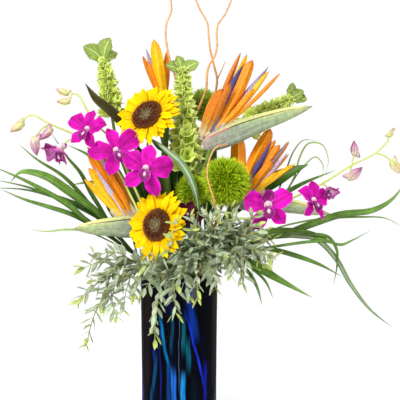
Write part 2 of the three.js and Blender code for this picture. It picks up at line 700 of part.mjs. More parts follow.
// A spray: its stem, a stalk to each bloom and bud, and the buds with the chin each one grows.
function orchidSpray({ seat, way, blooms, buds }, grow) {
  const joints = [...way.slice(1, -1).map(vector), stemLine(seat, way).curve.getPoint(0.99)];
  const stalk = (end) => {
    const start = joints.reduce((a, b) => (a.distanceTo(end) <= b.distanceTo(end) ? a : b));
    const bend = start.clone().lerp(end, 0.5).addScaledVector(UP, 2);
    return sweep(smooth([start, bend, end]), { side: FRONT, width: 1.5, sides: 4, rings: 2 }, grow);
  };
  const behind = 1.5; // a stalk runs this near its bloom's face, where the bloom sits on it
  const toBlooms = blooms.map(({ centre, facing }) =>
    stalk(vector(centre).addScaledVector(vector(facing).normalize(), -behind)),
  );
  const young = buds.flatMap(({ centre, points, size = 17 }) => {
    const [middle, along] = [vector(centre), vector(points).normalize()];
    const chin = square(UP, along).multiplyScalar(0.7).addScaledVector(along, -0.7);
    const spot = (forward, down) =>
      middle.clone().addScaledVector(along, forward * size).addScaledVector(chin, down * size);
    const body = smooth([spot(-0.45, 0), spot(0.1, 0.06), spot(0.75, 0)]);
    const spur = smooth([spot(0.1, 0), spot(-0.1, 0.35), spot(-0.1, 0.62)]);
    return [
      sweep(body, { side: FRONT, width: lance(size * 0.28, 0.6, 0.35, 0.8), sides: 4, rings: 3 }, grow),
      sweep(spur, { side: FRONT, width: lance(size * 0.2, 0.9, 0.4, 1), sides: 4, rings: 2 }, grow),
      stalk(spot(-0.35, 0)),
    ];
  });
  const main = stem(seat, way, STEM_RADIUS.orchid, grow, { sides: 4, perSpan: 1, tip: 1.1 });
  return [main, ...toBlooms, ...young];
}

const BLOOMS = {
  left_outer: { centre: [-143, -88, 464], facing: [-0.35, -0.9, 0.15], size: 36, roll: 12 },
  left_middle: { centre: [-97, -98, 430], facing: [0.15, -0.95, 0.2], size: 42, roll: -20 },
  left_inner: { centre: [-51, -112, 402], facing: [0.1, -0.97, 0.15], size: 44, roll: 14 },
  left_cup: { centre: [-190, -78, 436], facing: [-0.45, -0.45, -0.75], size: 33, open: 0.5 },
  centre_dark: { centre: [14, -92, 329], facing: [0.1, -0.95, 0.1], size: 27, roll: 20 },
  right_open: { centre: [142, -108, 344], facing: [-0.05, -0.97, 0.15], size: 43, roll: -6 },
  right_side: { centre: [212, -94, 352], facing: [0.7, -0.7, 0.1], size: 36, roll: 8 },
};
const SPRAYS = {
  orchid_left_long: {
    seat: ["outer", 10.6],
    way: [
      [-40, -68, 275], [-56, -80, 318], [-76, -80, 360], [-95, -76, 397], [-125, -70, 432],
      [-157, -66, 453], [-206, -62, 474], [-233, -60, 488], [-244, -61, 485],
    ],
    blooms: ["left_outer", "left_cup"],
    buds: [
      { centre: [-256, -62, 470], points: [-0.75, 0, -0.65], size: 19 },
      { centre: [-207, -68, 458], points: [-0.6, -0.1, -0.75], size: 18 },
      { centre: [-229, -66, 440], points: [0.15, 0, -1], size: 21 },
    ],
  },
  orchid_left_short: {
    seat: ["outer", 11.3],
    way: [
      [-34, -70, 290], [-54, -76, 336], [-74, -86, 384], [-104, -76, 446], [-134, -70, 477],
      [-149, -64, 502], [-160, -60, 520], [-170, -60, 523],
    ],
    blooms: ["left_middle", "left_inner"],
    buds: [
      { centre: [-183, -60, 524], points: [-0.9, 0, 0.4], size: 15 },
      { centre: [-180, -64, 510], points: [-1, 0, 0.05], size: 15 },
    ],
  },
  orchid_right: {
    seat: ["outer", 14],
    way: [
      [74, -72, 292], [112, -84, 318], [170, -80, 350], [226, -76, 377], [277, -72, 408],
      [315, -68, 427], [337, -65, 448],
    ],
    blooms: ["right_open", "right_side"],
    buds: [
      { centre: [340, -64, 458], points: [0.5, 0, 0.85], size: 13 },
      { centre: [281, -70, 430], points: [0.1, 0, 1], size: 19 },
      { centre: [278, -74, 393], points: [0.45, -0.1, 0.7], size: 20 },
      { centre: [347, -68, 408], points: [0.55, 0, -0.8], size: 20 },
    ],
  },
};

// ---------- curly willow ----------
const WILLOW_STEMS = {
  willow_left: {
    seat: ["middle", 3], radius: 2.6,
    way: [
      [-16, 24, 300], [-12, 22, 420], [2, 14, 500], [-6, 8, 552], [-15, 4, 580], [-22, 4, 622],
      [-20, 4, 640], [-12, 2, 662], [-19, 0, 700],
    ],
  },
  willow_centre: {
    seat: ["middle", 2], radius: 2.6, twig: { from: 4, way: [[70, 9, 562], [76, 6, 578]] },
    way: [
      [18, 34, 300], [40, 40, 420], [62, 36, 500], [61, 20, 527], [63, 14, 549], [58, 10, 570],
      [52, 8, 595], [49, 8, 619], [47, 8, 640], [35, 8, 662], [19, 8, 700],
    ],
  },
  willow_right: {
    seat: ["middle", 0], radius: 2.6,
    way: [
      [30, -2, 300], [28, -10, 400], [24, -26, 462], [27, -30, 486], [37, -26, 510],
      [45, -22, 534], [46, -16, 554], [50, -10, 571], [59, -6, 586], [63, -4, 604], [62, -6, 618],
      [64, -8, 636], [77, -6, 656], [96, -4, 704],
    ],
  },
  willow_front: {
    seat: ["outer", 13.7], radius: 1.9,
    way: [
      [44, -84, 282], [60, -112, 322], [57, -122, 353], [51, -124, 372], [46, -124, 392],
      [48, -122, 414], [60, -112, 437], [77, -104, 441],
    ],
  },
};

function willow({ seat, way, radius, twig }, grow) {
  const parts = [stem(seat, way, radius, grow, { sides: 4, perSpan: 1, tip: radius * 0.5 })];
  if (twig) {
    const line = smooth([vector(way[twig.from]), ...twig.way.map(vector)]);
    parts.push(sweep(line, { side: FRONT, width: taper(1.2, 0.8), rings: 2, pointed: false }, grow));
  }
  return parts;
}

// ---------- grasses and broad leaves ----------
// Blades of one bunch share a foot: [greatest half width, points along the blade].
const TUFTS = {
  grass_left: {
    seat: ["outer", 8], neck: [-72, -6, 262],
    blades: [
      [3.8, [
        [-115, -12, 305], [-142, -18, 337], [-168, -22, 368], [-192, -24, 391], [-231, -26, 416],
        [-260, -28, 441],
      ]],
      [5, [
        [-112, 2, 305], [-131, -4, 336], [-146, -8, 361], [-162, -10, 393], [-184, -10, 420],
        [-209, -10, 459],
      ]],
      [9, [
        [-110, -18, 300], [-136, -26, 331], [-164, -32, 352], [-188, -36, 370], [-212, -38, 386],
        [-239, -40, 395], [-257, -40, 395], [-272, -40, 380],
      ]],
      [5.5, [
        [-118, -30, 296], [-154, -38, 320], [-176, -42, 340], [-202, -44, 357], [-251, -48, 384],
        [-300, -50, 406],
      ]],
      [3.6, [
        [-120, -16, 306], [-155, -20, 338], [-179, -22, 348], [-217, -24, 361], [-254, -26, 373],
        [-303, -26, 384],
      ]],
      [3, [[-116, -6, 306], [-160, -10, 334], [-200, -12, 352], [-250, -14, 366], [-308, -14, 370]]],
      [5, [
        [-114, -24, 290], [-156, -32, 317], [-178, -36, 328], [-215, -38, 340], [-252, -40, 352],
        [-287, -42, 368],
      ]],
      [4, [[-88, 22, 320], [-116, 40, 380], [-150, 50, 420], [-190, 54, 440]]],
    ],
  },
  grass_right: {
    seat: ["outer", 0], neck: [70, -16, 258],
    blades: [
      [9, [
        [112, -44, 284], [144, -52, 297], [196, -56, 302], [228, -58, 298], [246, -60, 282],
        [262, -60, 252], [303, -60, 187], [349, -60, 143],
      ]],
      [4.6, [[112, -46, 272], [150, -66, 272], [190, -74, 262], [226, -78, 249], [262, -80, 230]]],
      [6.5, [
        [130, -32, 282], [181, -36, 298], [209, -36, 308], [263, -34, 326], [315, -32, 333],
        [346, -30, 350], [370, -30, 379],
      ]],
      [2, [
        [150, -24, 300], [200, -24, 314], [248, -24, 320], [295, -22, 322], [338, -20, 320],
        [368, -20, 305],
      ]],
      [3.5, [
        [120, -10, 300], [160, 2, 340], [190, 6, 384], [200, 4, 420], [214, 4, 442], [236, 2, 440],
        [246, 0, 414], [240, -4, 392],
      ]],
      [5, [[110, 10, 300], [150, 24, 340], [200, 30, 372], [262, 30, 398]]],
    ],
  },
  grass_low_right: {
    seat: ["outer", 15], neck: [72, -40, 250],
    blades: [
      [8.5, [[92, -66, 258], [121, -76, 247], [157, -82, 227], [214, -86, 197]]],
      [3.5, [[92, -60, 252], [112, -70, 236], [126, -74, 212], [134, -76, 184]]],
      [3.2, [[96, -58, 256], [120, -62, 240], [140, -64, 220], [152, -66, 194]]],
      [2, [
        [90, -56, 262], [160, -90, 282], [232, -96, 292], [262, -92, 284], [276, -90, 290],
        [304, -88, 304],
      ]],
    ],
  },
  grass_back: {
    seat: ["outer", 5], neck: [-34, 76, 262],
    blades: [
      [5, [[-60, 110, 300], [-100, 150, 350], [-150, 180, 372], [-205, 196, 366]]],
      [6, [[-30, 118, 310], [-30, 160, 370], [-40, 196, 410], [-60, 226, 424]]],
      [5, [[10, 112, 300], [50, 156, 352], [96, 186, 380], [150, 204, 384]]],
      [4, [[-50, 104, 320], [-76, 120, 400], [-110, 130, 452]]],
      [4, [[0, 108, 320], [26, 128, 400], [60, 140, 450]]],
    ],
  },
};

const BLADE_TURN = 55;

// A blade is turned on its length so that it shows its face from the front as well as from above.
function bladeSide(along, turn) {
  const level = UP.clone().cross(along).normalize();
  return level.applyAxisAngle(along, radians(along.x > 0 ? turn : -turn));
}

function tuft({ seat, neck, blades }, grow) {
  const foot = vector(neck).addScaledVector(stemLine(seat, [neck]).curve.getTangent(1), -9);
  const leaves = blades.map(([width, points]) => {
    const line = smooth([foot, ...points.map(vector)]);
    const side = bladeSide(line.getTangent(0.4), BLADE_TURN);
    const shape = { width: lance(width, 0.2, 0.5, 1), depth: LEAF_DEPTH, channel: width * 0.18 };
    return sweep(line, { side, ...shape, rings: points.length + 1 }, grow);
  });
  return [stem(seat, [neck], STEM_RADIUS.grass, grow, { sides: 4, tip: 2.6, perSpan: 1 }), ...leaves];
}

// Single long leaves: half width, and the points of the midrib.
const LEAVES = {
  leaf_bronze: {
    seat: ["outer", 7], finish: DARK_LEAF, width: 12, turn: 50, way: [[-58, 22, 300], [-64, 10, 380]],
    rib: [[-60, -4, 420], [-84, -18, 464], [-112, -24, 494], [-136, -28, 515], [-152, -30, 540]],
  },
  leaf_centre: {
    seat: ["middle", 5], finish: BROAD_LEAF, width: 15, turn: 85, way: [[-20, 0, 290]],
    rib: [[-8, -6, 330], [-3, -10, 380], [-1, -10, 440], [-3, -6, 496]],
  },
  leaf_front: {
    seat: ["outer", 13.3], finish: GRASS, width: 6.5, turn: 70, way: [[24, -80, 288]],
    rib: [
      [34, -98, 330], [27, -102, 366], [19, -100, 388], [3, -94, 413], [-21, -86, 434],
      [-45, -70, 452],
    ],
  },
  leaf_right: {
    seat: ["outer", 1], finish: BROAD_LEAF, width: 14, turn: 60, way: [[66, 10, 290]],
    rib: [[88, 8, 322], [137, 8, 366], [175, 6, 390], [214, 2, 408]],
  },
};

function longLeaf({ seat, way, rib, width, turn }, grow) {
  const line = smooth(rib.map(vector));
  const side = bladeSide(line.getTangent(0.5), turn);
  const shape = { width: lance(width, 0.1, 0.45, 0.9), depth: LEAF_DEPTH, channel: width * 0.16 };
  const foot = line.getPoint(0.04).toArray();
  const stalk = stem(seat, [...way, foot], STEM_RADIUS.leaf, grow, { sides: 4, tip: 1.4 });
  return [sweep(line, { side, ...shape, rings: 7 }, grow), stalk];
}

// ---------- leafy branches ----------
// A leaf's length and half width, how far each pair is turned from the last, and the pairs on a twig.
const EUCALYPTUS = { finish: SAGE, length: 27, width: 6, twist: 90, pairs: [0.5, 0.97], rings: 2 };
const SALAL = { finish: BROAD_LEAF, length: 64, width: 19, twist: 110, pairs: [0.97], rings: 3 };

// Leaves at the given marks along a twig, in crossed pairs that grow shorter to its tip.
function twigLeaves(kind, line, marks, grow, random) {
  return marks.flatMap((mark, j) => {
    const [spot, tangent] = [line.getPoint(mark), line.getTangent(mark)];
    const turn = j * radians(kind.twist) + 0.5 * random();
    return [0, Math.PI].map((half) => {
      const size = kind.length * mix(1.05, 0.75, mark) * (0.9 + 0.25 * random());
      const outward = square(FRONT, tangent).applyAxisAngle(tangent, turn + half);
      const aim = outward.clone().multiplyScalar(0.75).addScaledVector(tangent, 0.66);
      const leaf = smooth([
        spot.clone(),
        spot.clone().addScaledVector(aim, size * 0.55).addScaledVector(tangent, -1),
        spot.clone().addScaledVector(aim, size).addScaledVector(tangent, size * 0.12),
      ]);
      const width = lance((kind.width * size) / kind.length, 0.4, 0.5, 0.9);
      const side = tangent.clone().cross(outward);
      return sweep(leaf, { side, width, depth: LEAF_DEPTH, rings: kind.rings }, grow);
    });
  });
}

function branch({ kind, seat, way, start, twigs = [] }, grow) {
  const { curve, marks } = stemLine(seat, way);
  const random = seeded(Math.abs(way[0][0]) + 11);
  const leafy = [...marks.filter((mark) => mark >= start && mark < 0.99), 0.985];
  const parts = [
    stem(seat, way, STEM_RADIUS.twig, grow, { sides: 3, tip: 1 }),
    ...twigLeaves(kind, curve, leafy, grow, random),
  ];
  for (const [fork, ...points] of twigs) {
    const line = smooth([curve.getPoint(marks[fork]), ...points.map(vector)]);
    parts.push(sweep(line, { side: FRONT, width: taper(1.5, 1), rings: 2, pointed: false }, grow));
    parts.push(...twigLeaves(kind, line, kind.pairs, grow, random));
  }
  return parts;
}

// A twig starts at a bend of its branch, counted from the cut end, and runs through its points.
const BRANCHES = {
  salal_back: {
    kind: SALAL, seat: ["outer", 3.4], start: 0.8,
    way: [[10, 76, 280], [6, 100, 340], [0, 108, 400], [-6, 108, 440]],
    twigs: [[4, [44, 104, 350], [62, 110, 392]], [5, [-30, 112, 372], [-60, 116, 404]]],
  },
  eucalyptus_left_high: {
    kind: EUCALYPTUS, seat: ["outer", 9], start: 0.5,
    way: [[-66, -50, 252], [-92, -74, 250], [-120, -82, 228], [-142, -84, 209], [-160, -84, 192]],
    twigs: [[5, [-118, -86, 257], [-148, -92, 246]]],
  },
  eucalyptus_left_low: {
    kind: EUCALYPTUS, seat: ["outer", 10], start: 0.5,
    way: [[-56, -66, 250], [-84, -90, 236], [-116, -98, 202], [-134, -98, 168], [-146, -96, 122]],
    twigs: [[4, [-80, -98, 218], [-88, -98, 180]]],
  },
  eucalyptus_front_left: {
    kind: EUCALYPTUS, seat: ["outer", 12], start: 0.5,
    way: [[-4, -72, 252], [-20, -92, 240], [-31, -98, 204], [-36, -94, 168], [-37, -92, 130]],
    twigs: [[5, [-6, -106, 216], [-4, -102, 176]]],
  },
  eucalyptus_front: {
    kind: EUCALYPTUS, seat: ["outer", 12.8], start: 0.48,
    way: [[22, -74, 252], [28, -102, 258], [30, -112, 228], [31, -110, 200]],
    twigs: [[4, [12, -116, 270], [-16, -132, 274]], [5, [52, -118, 246], [60, -118, 216]]],
  },
  eucalyptus_right_high: {
    kind: EUCALYPTUS, seat: ["outer", 14.5], start: 0.48,
    way: [[60, -66, 256], [74, -96, 280], [98, -116, 292], [128, -124, 288]],
    twigs: [[5, [60, -120, 298], [32, -130, 303]], [5, [94, -124, 272], [114, -132, 252]]],
  },
  eucalyptus_right_low: {
    kind: EUCALYPTUS, seat: ["outer", 15.5], start: 0.48,
    way: [[74, -34, 252], [90, -58, 272], [112, -84, 270], [134, -100, 252]],
    twigs: [[6, [100, -96, 246], [102, -108, 224]]],
  },
  eucalyptus_back: {
    kind: EUCALYPTUS, seat: ["outer", 4.6], start: 0.48,
    way: [[-12, 74, 252], [-16, 100, 258], [-20, 122, 236], [-22, 130, 200], [-22, 132, 160]],
    twigs: [[5, [18, 116, 250], [34, 124, 212]]],
  },
};

// ---------- the whole arrangement ----------
place("vase", GLASS, (grow) => [vaseSolid(grow)]);
birdOfParadise("bird_right_high", BIRD_RIGHT_HIGH);
birdOfParadise("bird_right_low", BIRD_RIGHT_LOW);
birdOfParadise("bird_left", BIRD_LEFT);
birdOfParadise("bird_top", BIRD_TOP);
for (const [name, spec] of Object.entries(SUNFLOWERS)) sunflower(name, spec);
for (const [name, spec] of Object.entries(BLOOMS)) {
  const colour = name === "centre_dark" ? BURGUNDY : MAGENTA;
  place(`orchid_bloom_${name}`, colour, (grow) => orchidBloom(spec, grow));
}
for (const [name, spec] of Object.entries(SPRAYS)) {
  const blooms = spec.blooms.map((bloom) => BLOOMS[bloom]);
  place(name, BUDDING, (grow) => orchidSpray({ ...spec, blooms }, grow));
}
for (const [name, spec] of Object.entries(DIANTHUS_HEADS)) {
  place(name, MOSSY, (grow) => dianthusHead(spec, grow));
}
for (const [name, spec] of Object.entries(BELL_SPIKES)) {
  place(name, BELL, (grow) => bellSpike(spec, grow));
}
for (const [name, spec] of Object.entries(WILLOW_STEMS)) {
  place(name, WILLOW, (grow) => willow(spec, grow));
}
for (const [name, spec] of Object.entries(LEAVES)) {
  place(name, spec.finish, (grow) => longLeaf(spec, grow));
}
for (const [name, spec] of Object.entries(TUFTS)) {
  place(name, GRASS, (grow) => tuft(spec, grow));
}
for (const [name, spec] of Object.entries(BRANCHES)) {
  place(name, spec.kind.finish, (grow) => branch(spec, grow));
}
place("water", WATER, () => [waterSolid()]);

export default arrangement;
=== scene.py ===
"""Bird of paradise flowers with sunflowers, orchids and foliage in a deep blue glass vase."""

import logging
import math
import random
from dataclasses import dataclass, field
from enum import Enum
from typing import Callable, ClassVar, Iterable, Sequence

import bmesh
import bpy
from mathutils import Matrix, Vector


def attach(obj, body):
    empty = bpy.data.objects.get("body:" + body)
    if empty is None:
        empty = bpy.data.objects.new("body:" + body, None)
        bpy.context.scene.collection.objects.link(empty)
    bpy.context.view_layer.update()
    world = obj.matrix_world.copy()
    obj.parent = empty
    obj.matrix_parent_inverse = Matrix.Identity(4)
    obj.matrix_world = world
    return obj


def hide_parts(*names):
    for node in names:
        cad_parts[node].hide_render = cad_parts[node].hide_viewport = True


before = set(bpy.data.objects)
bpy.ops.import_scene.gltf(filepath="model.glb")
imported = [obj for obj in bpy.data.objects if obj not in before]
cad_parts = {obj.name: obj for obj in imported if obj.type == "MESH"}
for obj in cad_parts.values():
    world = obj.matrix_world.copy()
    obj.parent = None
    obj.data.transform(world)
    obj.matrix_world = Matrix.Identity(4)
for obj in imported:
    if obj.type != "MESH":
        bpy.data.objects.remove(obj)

LOG = logging.getLogger("arrangement")
MM = 0.001
GOLDEN_TURN = 2.39996
UP, FRONT, RIGHT = Vector((0, 0, 1)), Vector((0, -1, 0)), Vector((1, 0, 0))
Point = Sequence[float]
Share = Callable[[float], float]


# ---------------------------------------------------------------- curves
def square(hint: Vector, direction: Vector) -> Vector:
    """Give the direction at right angles to another that is nearest to a hint."""
    return (hint - direction * hint.dot(direction)).normalized()


def mix(a: float, b: float, t: float) -> float:
    """Give the value between two others."""
    return a + (b - a) * t


def lance(widest: float, root: float = 0.4, at: float = 0.45, tip: float = 0.75) -> Share:
    """Make the half width of a lance-shaped blade along its length.

    Args:
        widest: Greatest half width.
        root: Share of it at the foot.
        at: Where along the blade it is reached.
        tip: How slender the tip is; less is blunter.

    Returns:
        Half width by share of the length.
    """

    def half(t: float) -> float:
        """Swell to the widest place, then close in a point."""
        if t < at:
            return widest * mix(root, 1, math.sin(math.pi / 2 * t / at))
        return widest * max(0.0, math.cos(math.pi / 2 * ((t - at) / (1 - at)) ** (1 / tip)))

    return half


def strap(widest: float, root: float, at: float, blunt: float) -> Share:
    """Make the half width of a strap-shaped petal along its length.

    Args:
        widest: Greatest half width.
        root: Share of it at the foot.
        at: Where along the petal it is reached.
        blunt: How square the tip is, from 0, pointed, to 1.

    Returns:
        Half width by share of the length.
    """

    def half(t: float) -> float:
        """Swell to the widest place, then round off; the powers make the end squarer."""
        if t < at:
            return widest * mix(root, 1, math.sin(math.pi / 2 * t / at))
        past = (t - at) / (1 - at)
        return widest * max(0.0, 1 - past ** (1.6 + 2.6 * blunt)) ** (1 - 0.45 * blunt)

    return half


def taper(start: float, end: float) -> Share:
    """Make a half width that runs evenly from one size to another."""
    return lambda t: mix(start, end, t)


class Path:
    """A centripetal curve through points, in millimetres."""

    fine: ClassVar[int] = 120

    def __init__(self, points: Iterable[Point]) -> None:
        """Keep the points and add one beyond each end.

        Args:
            points: The places it passes, from its first end to its last.
        """
        p = [Vector(q) for q in points]
        self.points = [p[0] * 2 - p[1], *p, p[-1] * 2 - p[-2]]
        self.spans = len(p) - 1

    def at(self, t: float) -> Vector:
        """Find a point on the curve.

        Args:
            t: Share of the spans from one point to the next, 0 to 1.

        Returns:
            The point.
        """
        place = min(max(t, 0.0), 1.0) * self.spans
        k = min(int(place), self.spans - 1)
        w = place - k
        a, b, c, d = self.points[k : k + 4]
        gaps = [max((q - p).length, 1e-4) ** 0.5 for p, q in ((a, b), (b, c), (c, d))]
        start = ((b - a) / gaps[0] - (c - a) / (gaps[0] + gaps[1]) + (c - b) / gaps[1]) * gaps[1]
        end = ((c - b) / gaps[1] - (d - b) / (gaps[1] + gaps[2]) + (d - c) / gaps[2]) * gaps[1]
        return b + start * w + (c * 3 - b * 3 - start * 2 - end) * w**2 + (b * 2 - c * 2 + start + end) * w**3

    def heading(self, t: float) -> Vector:
        """Give the direction of travel at a share of the spans."""
        return (self.at(min(t + 1e-3, 1)) - self.at(max(t - 1e-3, 0))).normalized()

    def steps(self, count: int) -> list[float]:
        """Measure even steps along the spans."""
        marks = [self.at(k / count) for k in range(count + 1)]
        return [(b - a).length for a, b in zip(marks, marks[1:])]

    def length(self) -> float:
        """Measure the curve."""
        return sum(self.steps(self.fine // 2))

    def by_length(self, share: float) -> float:
        """Find the share of the spans at which a share of the length has passed.

        Args:
            share: Share of the length.

        Returns:
            Share of the spans.
        """
        steps = self.steps(self.fine)
        left = share * sum(steps)
        for k, step in enumerate(steps):
            if left <= step:
                return (k + left / max(step, 1e-9)) / self.fine
            left -= step
        return 1.0


# ---------------------------------------------------------------- finishes
Socket = bpy.types.NodeSocket
Tree = bpy.types.NodeTree
Stops = tuple[tuple[float, str], ...]


def linear(code: str) -> tuple[float, float, float, float]:
    """Turn an sRGB hex colour into linear values."""
    parts = [int(code[i : i + 2], 16) / 255 for i in (1, 3, 5)]
    return (*[p / 12.92 if p <= 0.04045 else ((p + 0.055) / 1.055) ** 2.4 for p in parts], 1.0)


def span(from_min: float, from_max: float, to_min: float, to_max: float) -> dict[str, float]:
    """Name the four limits by which one range is mapped to another."""
    return {"From Min": from_min, "From Max": from_max, "To Min": to_min, "To Max": to_max}


def add_node(
    tree: Tree,
    kind: str,
    inputs: dict[int | str, object] | None = None,
    stops: Stops = (),
    out: int | str = 0,
    **settings: object,
) -> Socket:
    """Add a shader node with its settings and links.

    Args:
        tree: The nodes of the material.
        kind: The node's type, without the prefix that all shader nodes share.
        inputs: Values, hex colours or sockets for its inputs.
        stops: Places and hex colours along a ramp.
        out: Which of its outputs is wanted.
        **settings: Properties of the node.

    Returns:
        That output.
    """
    node = tree.nodes.new("ShaderNode" + kind)
    for key, value in settings.items():
        setattr(node, key, value)
    for key, value in (inputs or {}).items():
        if isinstance(value, Socket):
            tree.links.new(value, node.inputs[key])
        else:
            node.inputs[key].default_value = linear(value) if isinstance(value, str) else value
    for k, (place, code) in enumerate(stops):
        element = node.color_ramp.elements[k] if k < 2 else node.color_ramp.elements.new(place)
        element.position, element.color = place, linear(code)
    return node.outputs[out]


def new_material(name: str) -> tuple[bpy.types.Material, Tree]:
    """Start a material with no nodes but its output.

    Args:
        name: The material's name.

    Returns:
        The material and its nodes.
    """
    material = bpy.data.materials.new(name)
    material.use_nodes = True
    for node in list(material.node_tree.nodes):
        if node.type != "OUTPUT_MATERIAL":
            material.node_tree.nodes.remove(node)
    return material, material.node_tree


def join_surface(tree: Tree, shader: Socket) -> None:
    """Lead a shader to the material's output."""
    tree.links.new(shader, tree.nodes["Material Output"].inputs["Surface"])


@dataclass(frozen=True)
class Band:
    """A band of colour beside the middle line, from one share of the length to another."""

    width: float
    along: Stops
    first: float
    last: float
    strength: float = 1.0

    def cover(self, tree: Tree, along: Socket, aside: Socket) -> Socket:
        """Work out how strongly the band covers each place.

        Args:
            tree: The nodes of the material.
            along: Share of the length.
            aside: Share of the half width from the middle line.

        Returns:
            Its cover, 0 to 1.
        """
        fade = span(self.width * 0.7, self.width, self.strength, 0.0)
        start = span(self.first, self.first + 0.06, 0.0, 1.0)
        end = span(self.last - 0.08, self.last, 1.0, 0.0)
        cover = add_node(tree, "MapRange", {"Value": aside, **fade})
        for limits in (start, end):
            part = add_node(tree, "MapRange", {"Value": along, **limits})
            cover = add_node(tree, "Math", {0: cover, 1: part}, operation="MULTIPLY")
        return cover


@dataclass(frozen=True)
class PlantFinish:
    """Living plant tissue: a waxy or velvety skin over cells that let a little light through.

    The colours run from the foot of each petal or leaf to its tip. Widths are shares of its half width.
    """

    name: str
    along: Stops
    edge: str = ""
    edge_from: float = 0.75
    # The middle line is a real vein on leaves and petals, and a painted highlight on the folded sepals, the
    # tongues and the grass blades.
    midrib_and_sheen: str = ""
    midrib_and_sheen_width: float = 0.1
    streak: str = ""
    streaks: float = 9.0
    streak_share: float = 0.6
    mottle: float = 0.16
    grain_mm: float = 4.0
    roughness: float = 0.5
    glow: float = 0.0
    coat: float = 0.0
    bump_mm: float = 0.25
    specular: float = 0.3
    bands: tuple[Band, ...] = ()
    own_light: ClassVar[tuple[float, float]] = (0.84, 1.14)

    def material(self) -> bpy.types.Material:
        """Build the material, or give the one already built.

        Returns:
            The material.
        """
        if self.name in bpy.data.materials:
            return bpy.data.materials[self.name]
        material, tree = new_material(self.name)
        along, across, shade = (
            add_node(tree, "Attribute", out="Fac", attribute_name=name)
            for name in ("along", "across", "shade")
        )
        # The ribs run lengthwise, and no two petals have the same ones.
        over = add_node(tree, "Math", {0: across, 1: self.streaks / 2}, operation="MULTIPLY")
        apart = add_node(tree, "Math", {0: shade, 1: 40.0}, operation="MULTIPLY")
        lines = add_node(tree, "CombineXYZ", {"X": over, "Y": along, "Z": apart})
        rib = add_node(tree, "TexNoise", {"Vector": lines, "Scale": 1.6, "Detail": 3.0})
        colour = self.pigment(tree, along, across, rib)
        light = self.light(tree, shade)
        colour = add_node(
            tree, "MixRGB", {"Fac": 1.0, "Color1": colour, "Color2": light}, blend_type="MULTIPLY"
        )
        relief = add_node(tree, "Bump", {"Height": rib, "Distance": self.bump_mm * MM, "Strength": 0.6})
        skin = {
            "Base Color": colour,
            "Roughness": self.roughness,
            "Subsurface Weight": self.glow,
            "Subsurface Radius": (0.004, 0.003, 0.001),
            "Subsurface Scale": 1.0,
            "Specular IOR Level": self.specular,
            "Coat Weight": self.coat,
            "Coat Roughness": 0.25,
            "Normal": relief,
        }
        join_surface(tree, add_node(tree, "BsdfPrincipled", skin))
        return material

    def pigment(self, tree: Tree, along: Socket, across: Socket, rib: Socket) -> Socket:
        """Lay the streaks, the midrib, the edge and the bands over the colours of the length.

        Args:
            tree: The nodes of the material.
            along: Share of the length.
            across: Share of the half width, less than 0 on one side.
            rib: Height of the ribs.

        Returns:
            The colour.
        """
        aside = add_node(tree, "Math", {0: across}, operation="ABSOLUTE")
        colour = add_node(tree, "ValToRGB", {"Fac": along}, stops=self.along)
        for tint, value, limits in (
            (self.streak, rib, span(0.42, 0.68, 0.0, self.streak_share)),
            (self.midrib_and_sheen, aside, span(self.midrib_and_sheen_width * 0.4, self.midrib_and_sheen_width, 0.85, 0.0)),
            (self.edge, aside, span(self.edge_from, 1.0, 0.0, 0.9)),
        ):
            if tint:
                part = add_node(tree, "MapRange", {"Value": value, **limits})
                colour = add_node(tree, "MixRGB", {"Fac": part, "Color1": colour, "Color2": tint})
        for band in self.bands:
            tint = add_node(tree, "ValToRGB", {"Fac": along}, stops=band.along)
            cover = band.cover(tree, along, aside)
            colour = add_node(tree, "MixRGB", {"Fac": cover, "Color1": colour, "Color2": tint})
        return colour

    def light(self, tree: Tree, shade: Socket) -> Socket:
        """Mottle the tissue, and make one petal a little lighter than the next.

        Args:
            tree: The nodes of the material.
            shade: The petal's own lightness, 0 to 1.

        Returns:
            The factor for the colour.
        """
        place = add_node(tree, "TexCoord", out="Object")
        grain = {"Vector": place, "Scale": 1 / (self.grain_mm * MM), "Detail": 2.0}
        spots = add_node(tree, "TexNoise", grain)
        limits = span(0.3, 0.7, 1 - self.mottle, 1 + self.mottle)
        mottle = add_node(tree, "MapRange", {"Value": spots, **limits})
        own = add_node(tree, "MapRange", {"Value": shade, **span(0.0, 1.0, *self.own_light)})
        return add_node(tree, "Math", {0: mottle, 1: own}, operation="MULTIPLY")


@dataclass(frozen=True)
class LightStreak:
    """One slanting streak of painted light in the glass: its middle at the foot and the rim, its half width
    and its ends.
    """

    foot_mm: float
    rim_mm: float
    half_mm: float
    low_mm: float
    high_mm: float
    colour: str
    height_mm: ClassVar[float] = 229

    def lay(self, tree: Tree, colour: Socket, x: Socket, z: Socket, streak_lines: Socket) -> Socket:
        """Lay the streak over the colours so far.

        Args:
            tree: The nodes of the material.
            colour: The colours so far.
            x: How far the place lies to the right of the pattern's middle.
            z: Its height.
            streak_lines: Strength of the fine lines that break up the painted light.

        Returns:
            The colours with the streak.
        """
        slant = span(0.0, self.height_mm * MM, self.foot_mm * MM, self.rim_mm * MM)
        middle = add_node(tree, "MapRange", {"Value": z, **slant})
        away = add_node(tree, "Math", {0: x, 1: middle}, operation="SUBTRACT")
        away = add_node(tree, "Math", {0: away}, operation="ABSOLUTE")
        cover = streak_lines
        for value, limits in (
            (away, span(0.45 * self.half_mm * MM, self.half_mm * MM, 1.0, 0.0)),
            (z, span((self.low_mm - 16) * MM, (self.low_mm + 16) * MM, 0.0, 1.0)),
            (z, span((self.high_mm - 14) * MM, (self.high_mm + 14) * MM, 1.0, 0.0)),
        ):
            part = add_node(tree, "MapRange", {"Value": value, **limits}, interpolation_type="SMOOTHSTEP")
            cover = add_node(tree, "Math", {0: part, 1: cover}, operation="MULTIPLY")
        return add_node(tree, "MixRGB", {"Fac": cover, "Color1": colour, "Color2": self.colour})


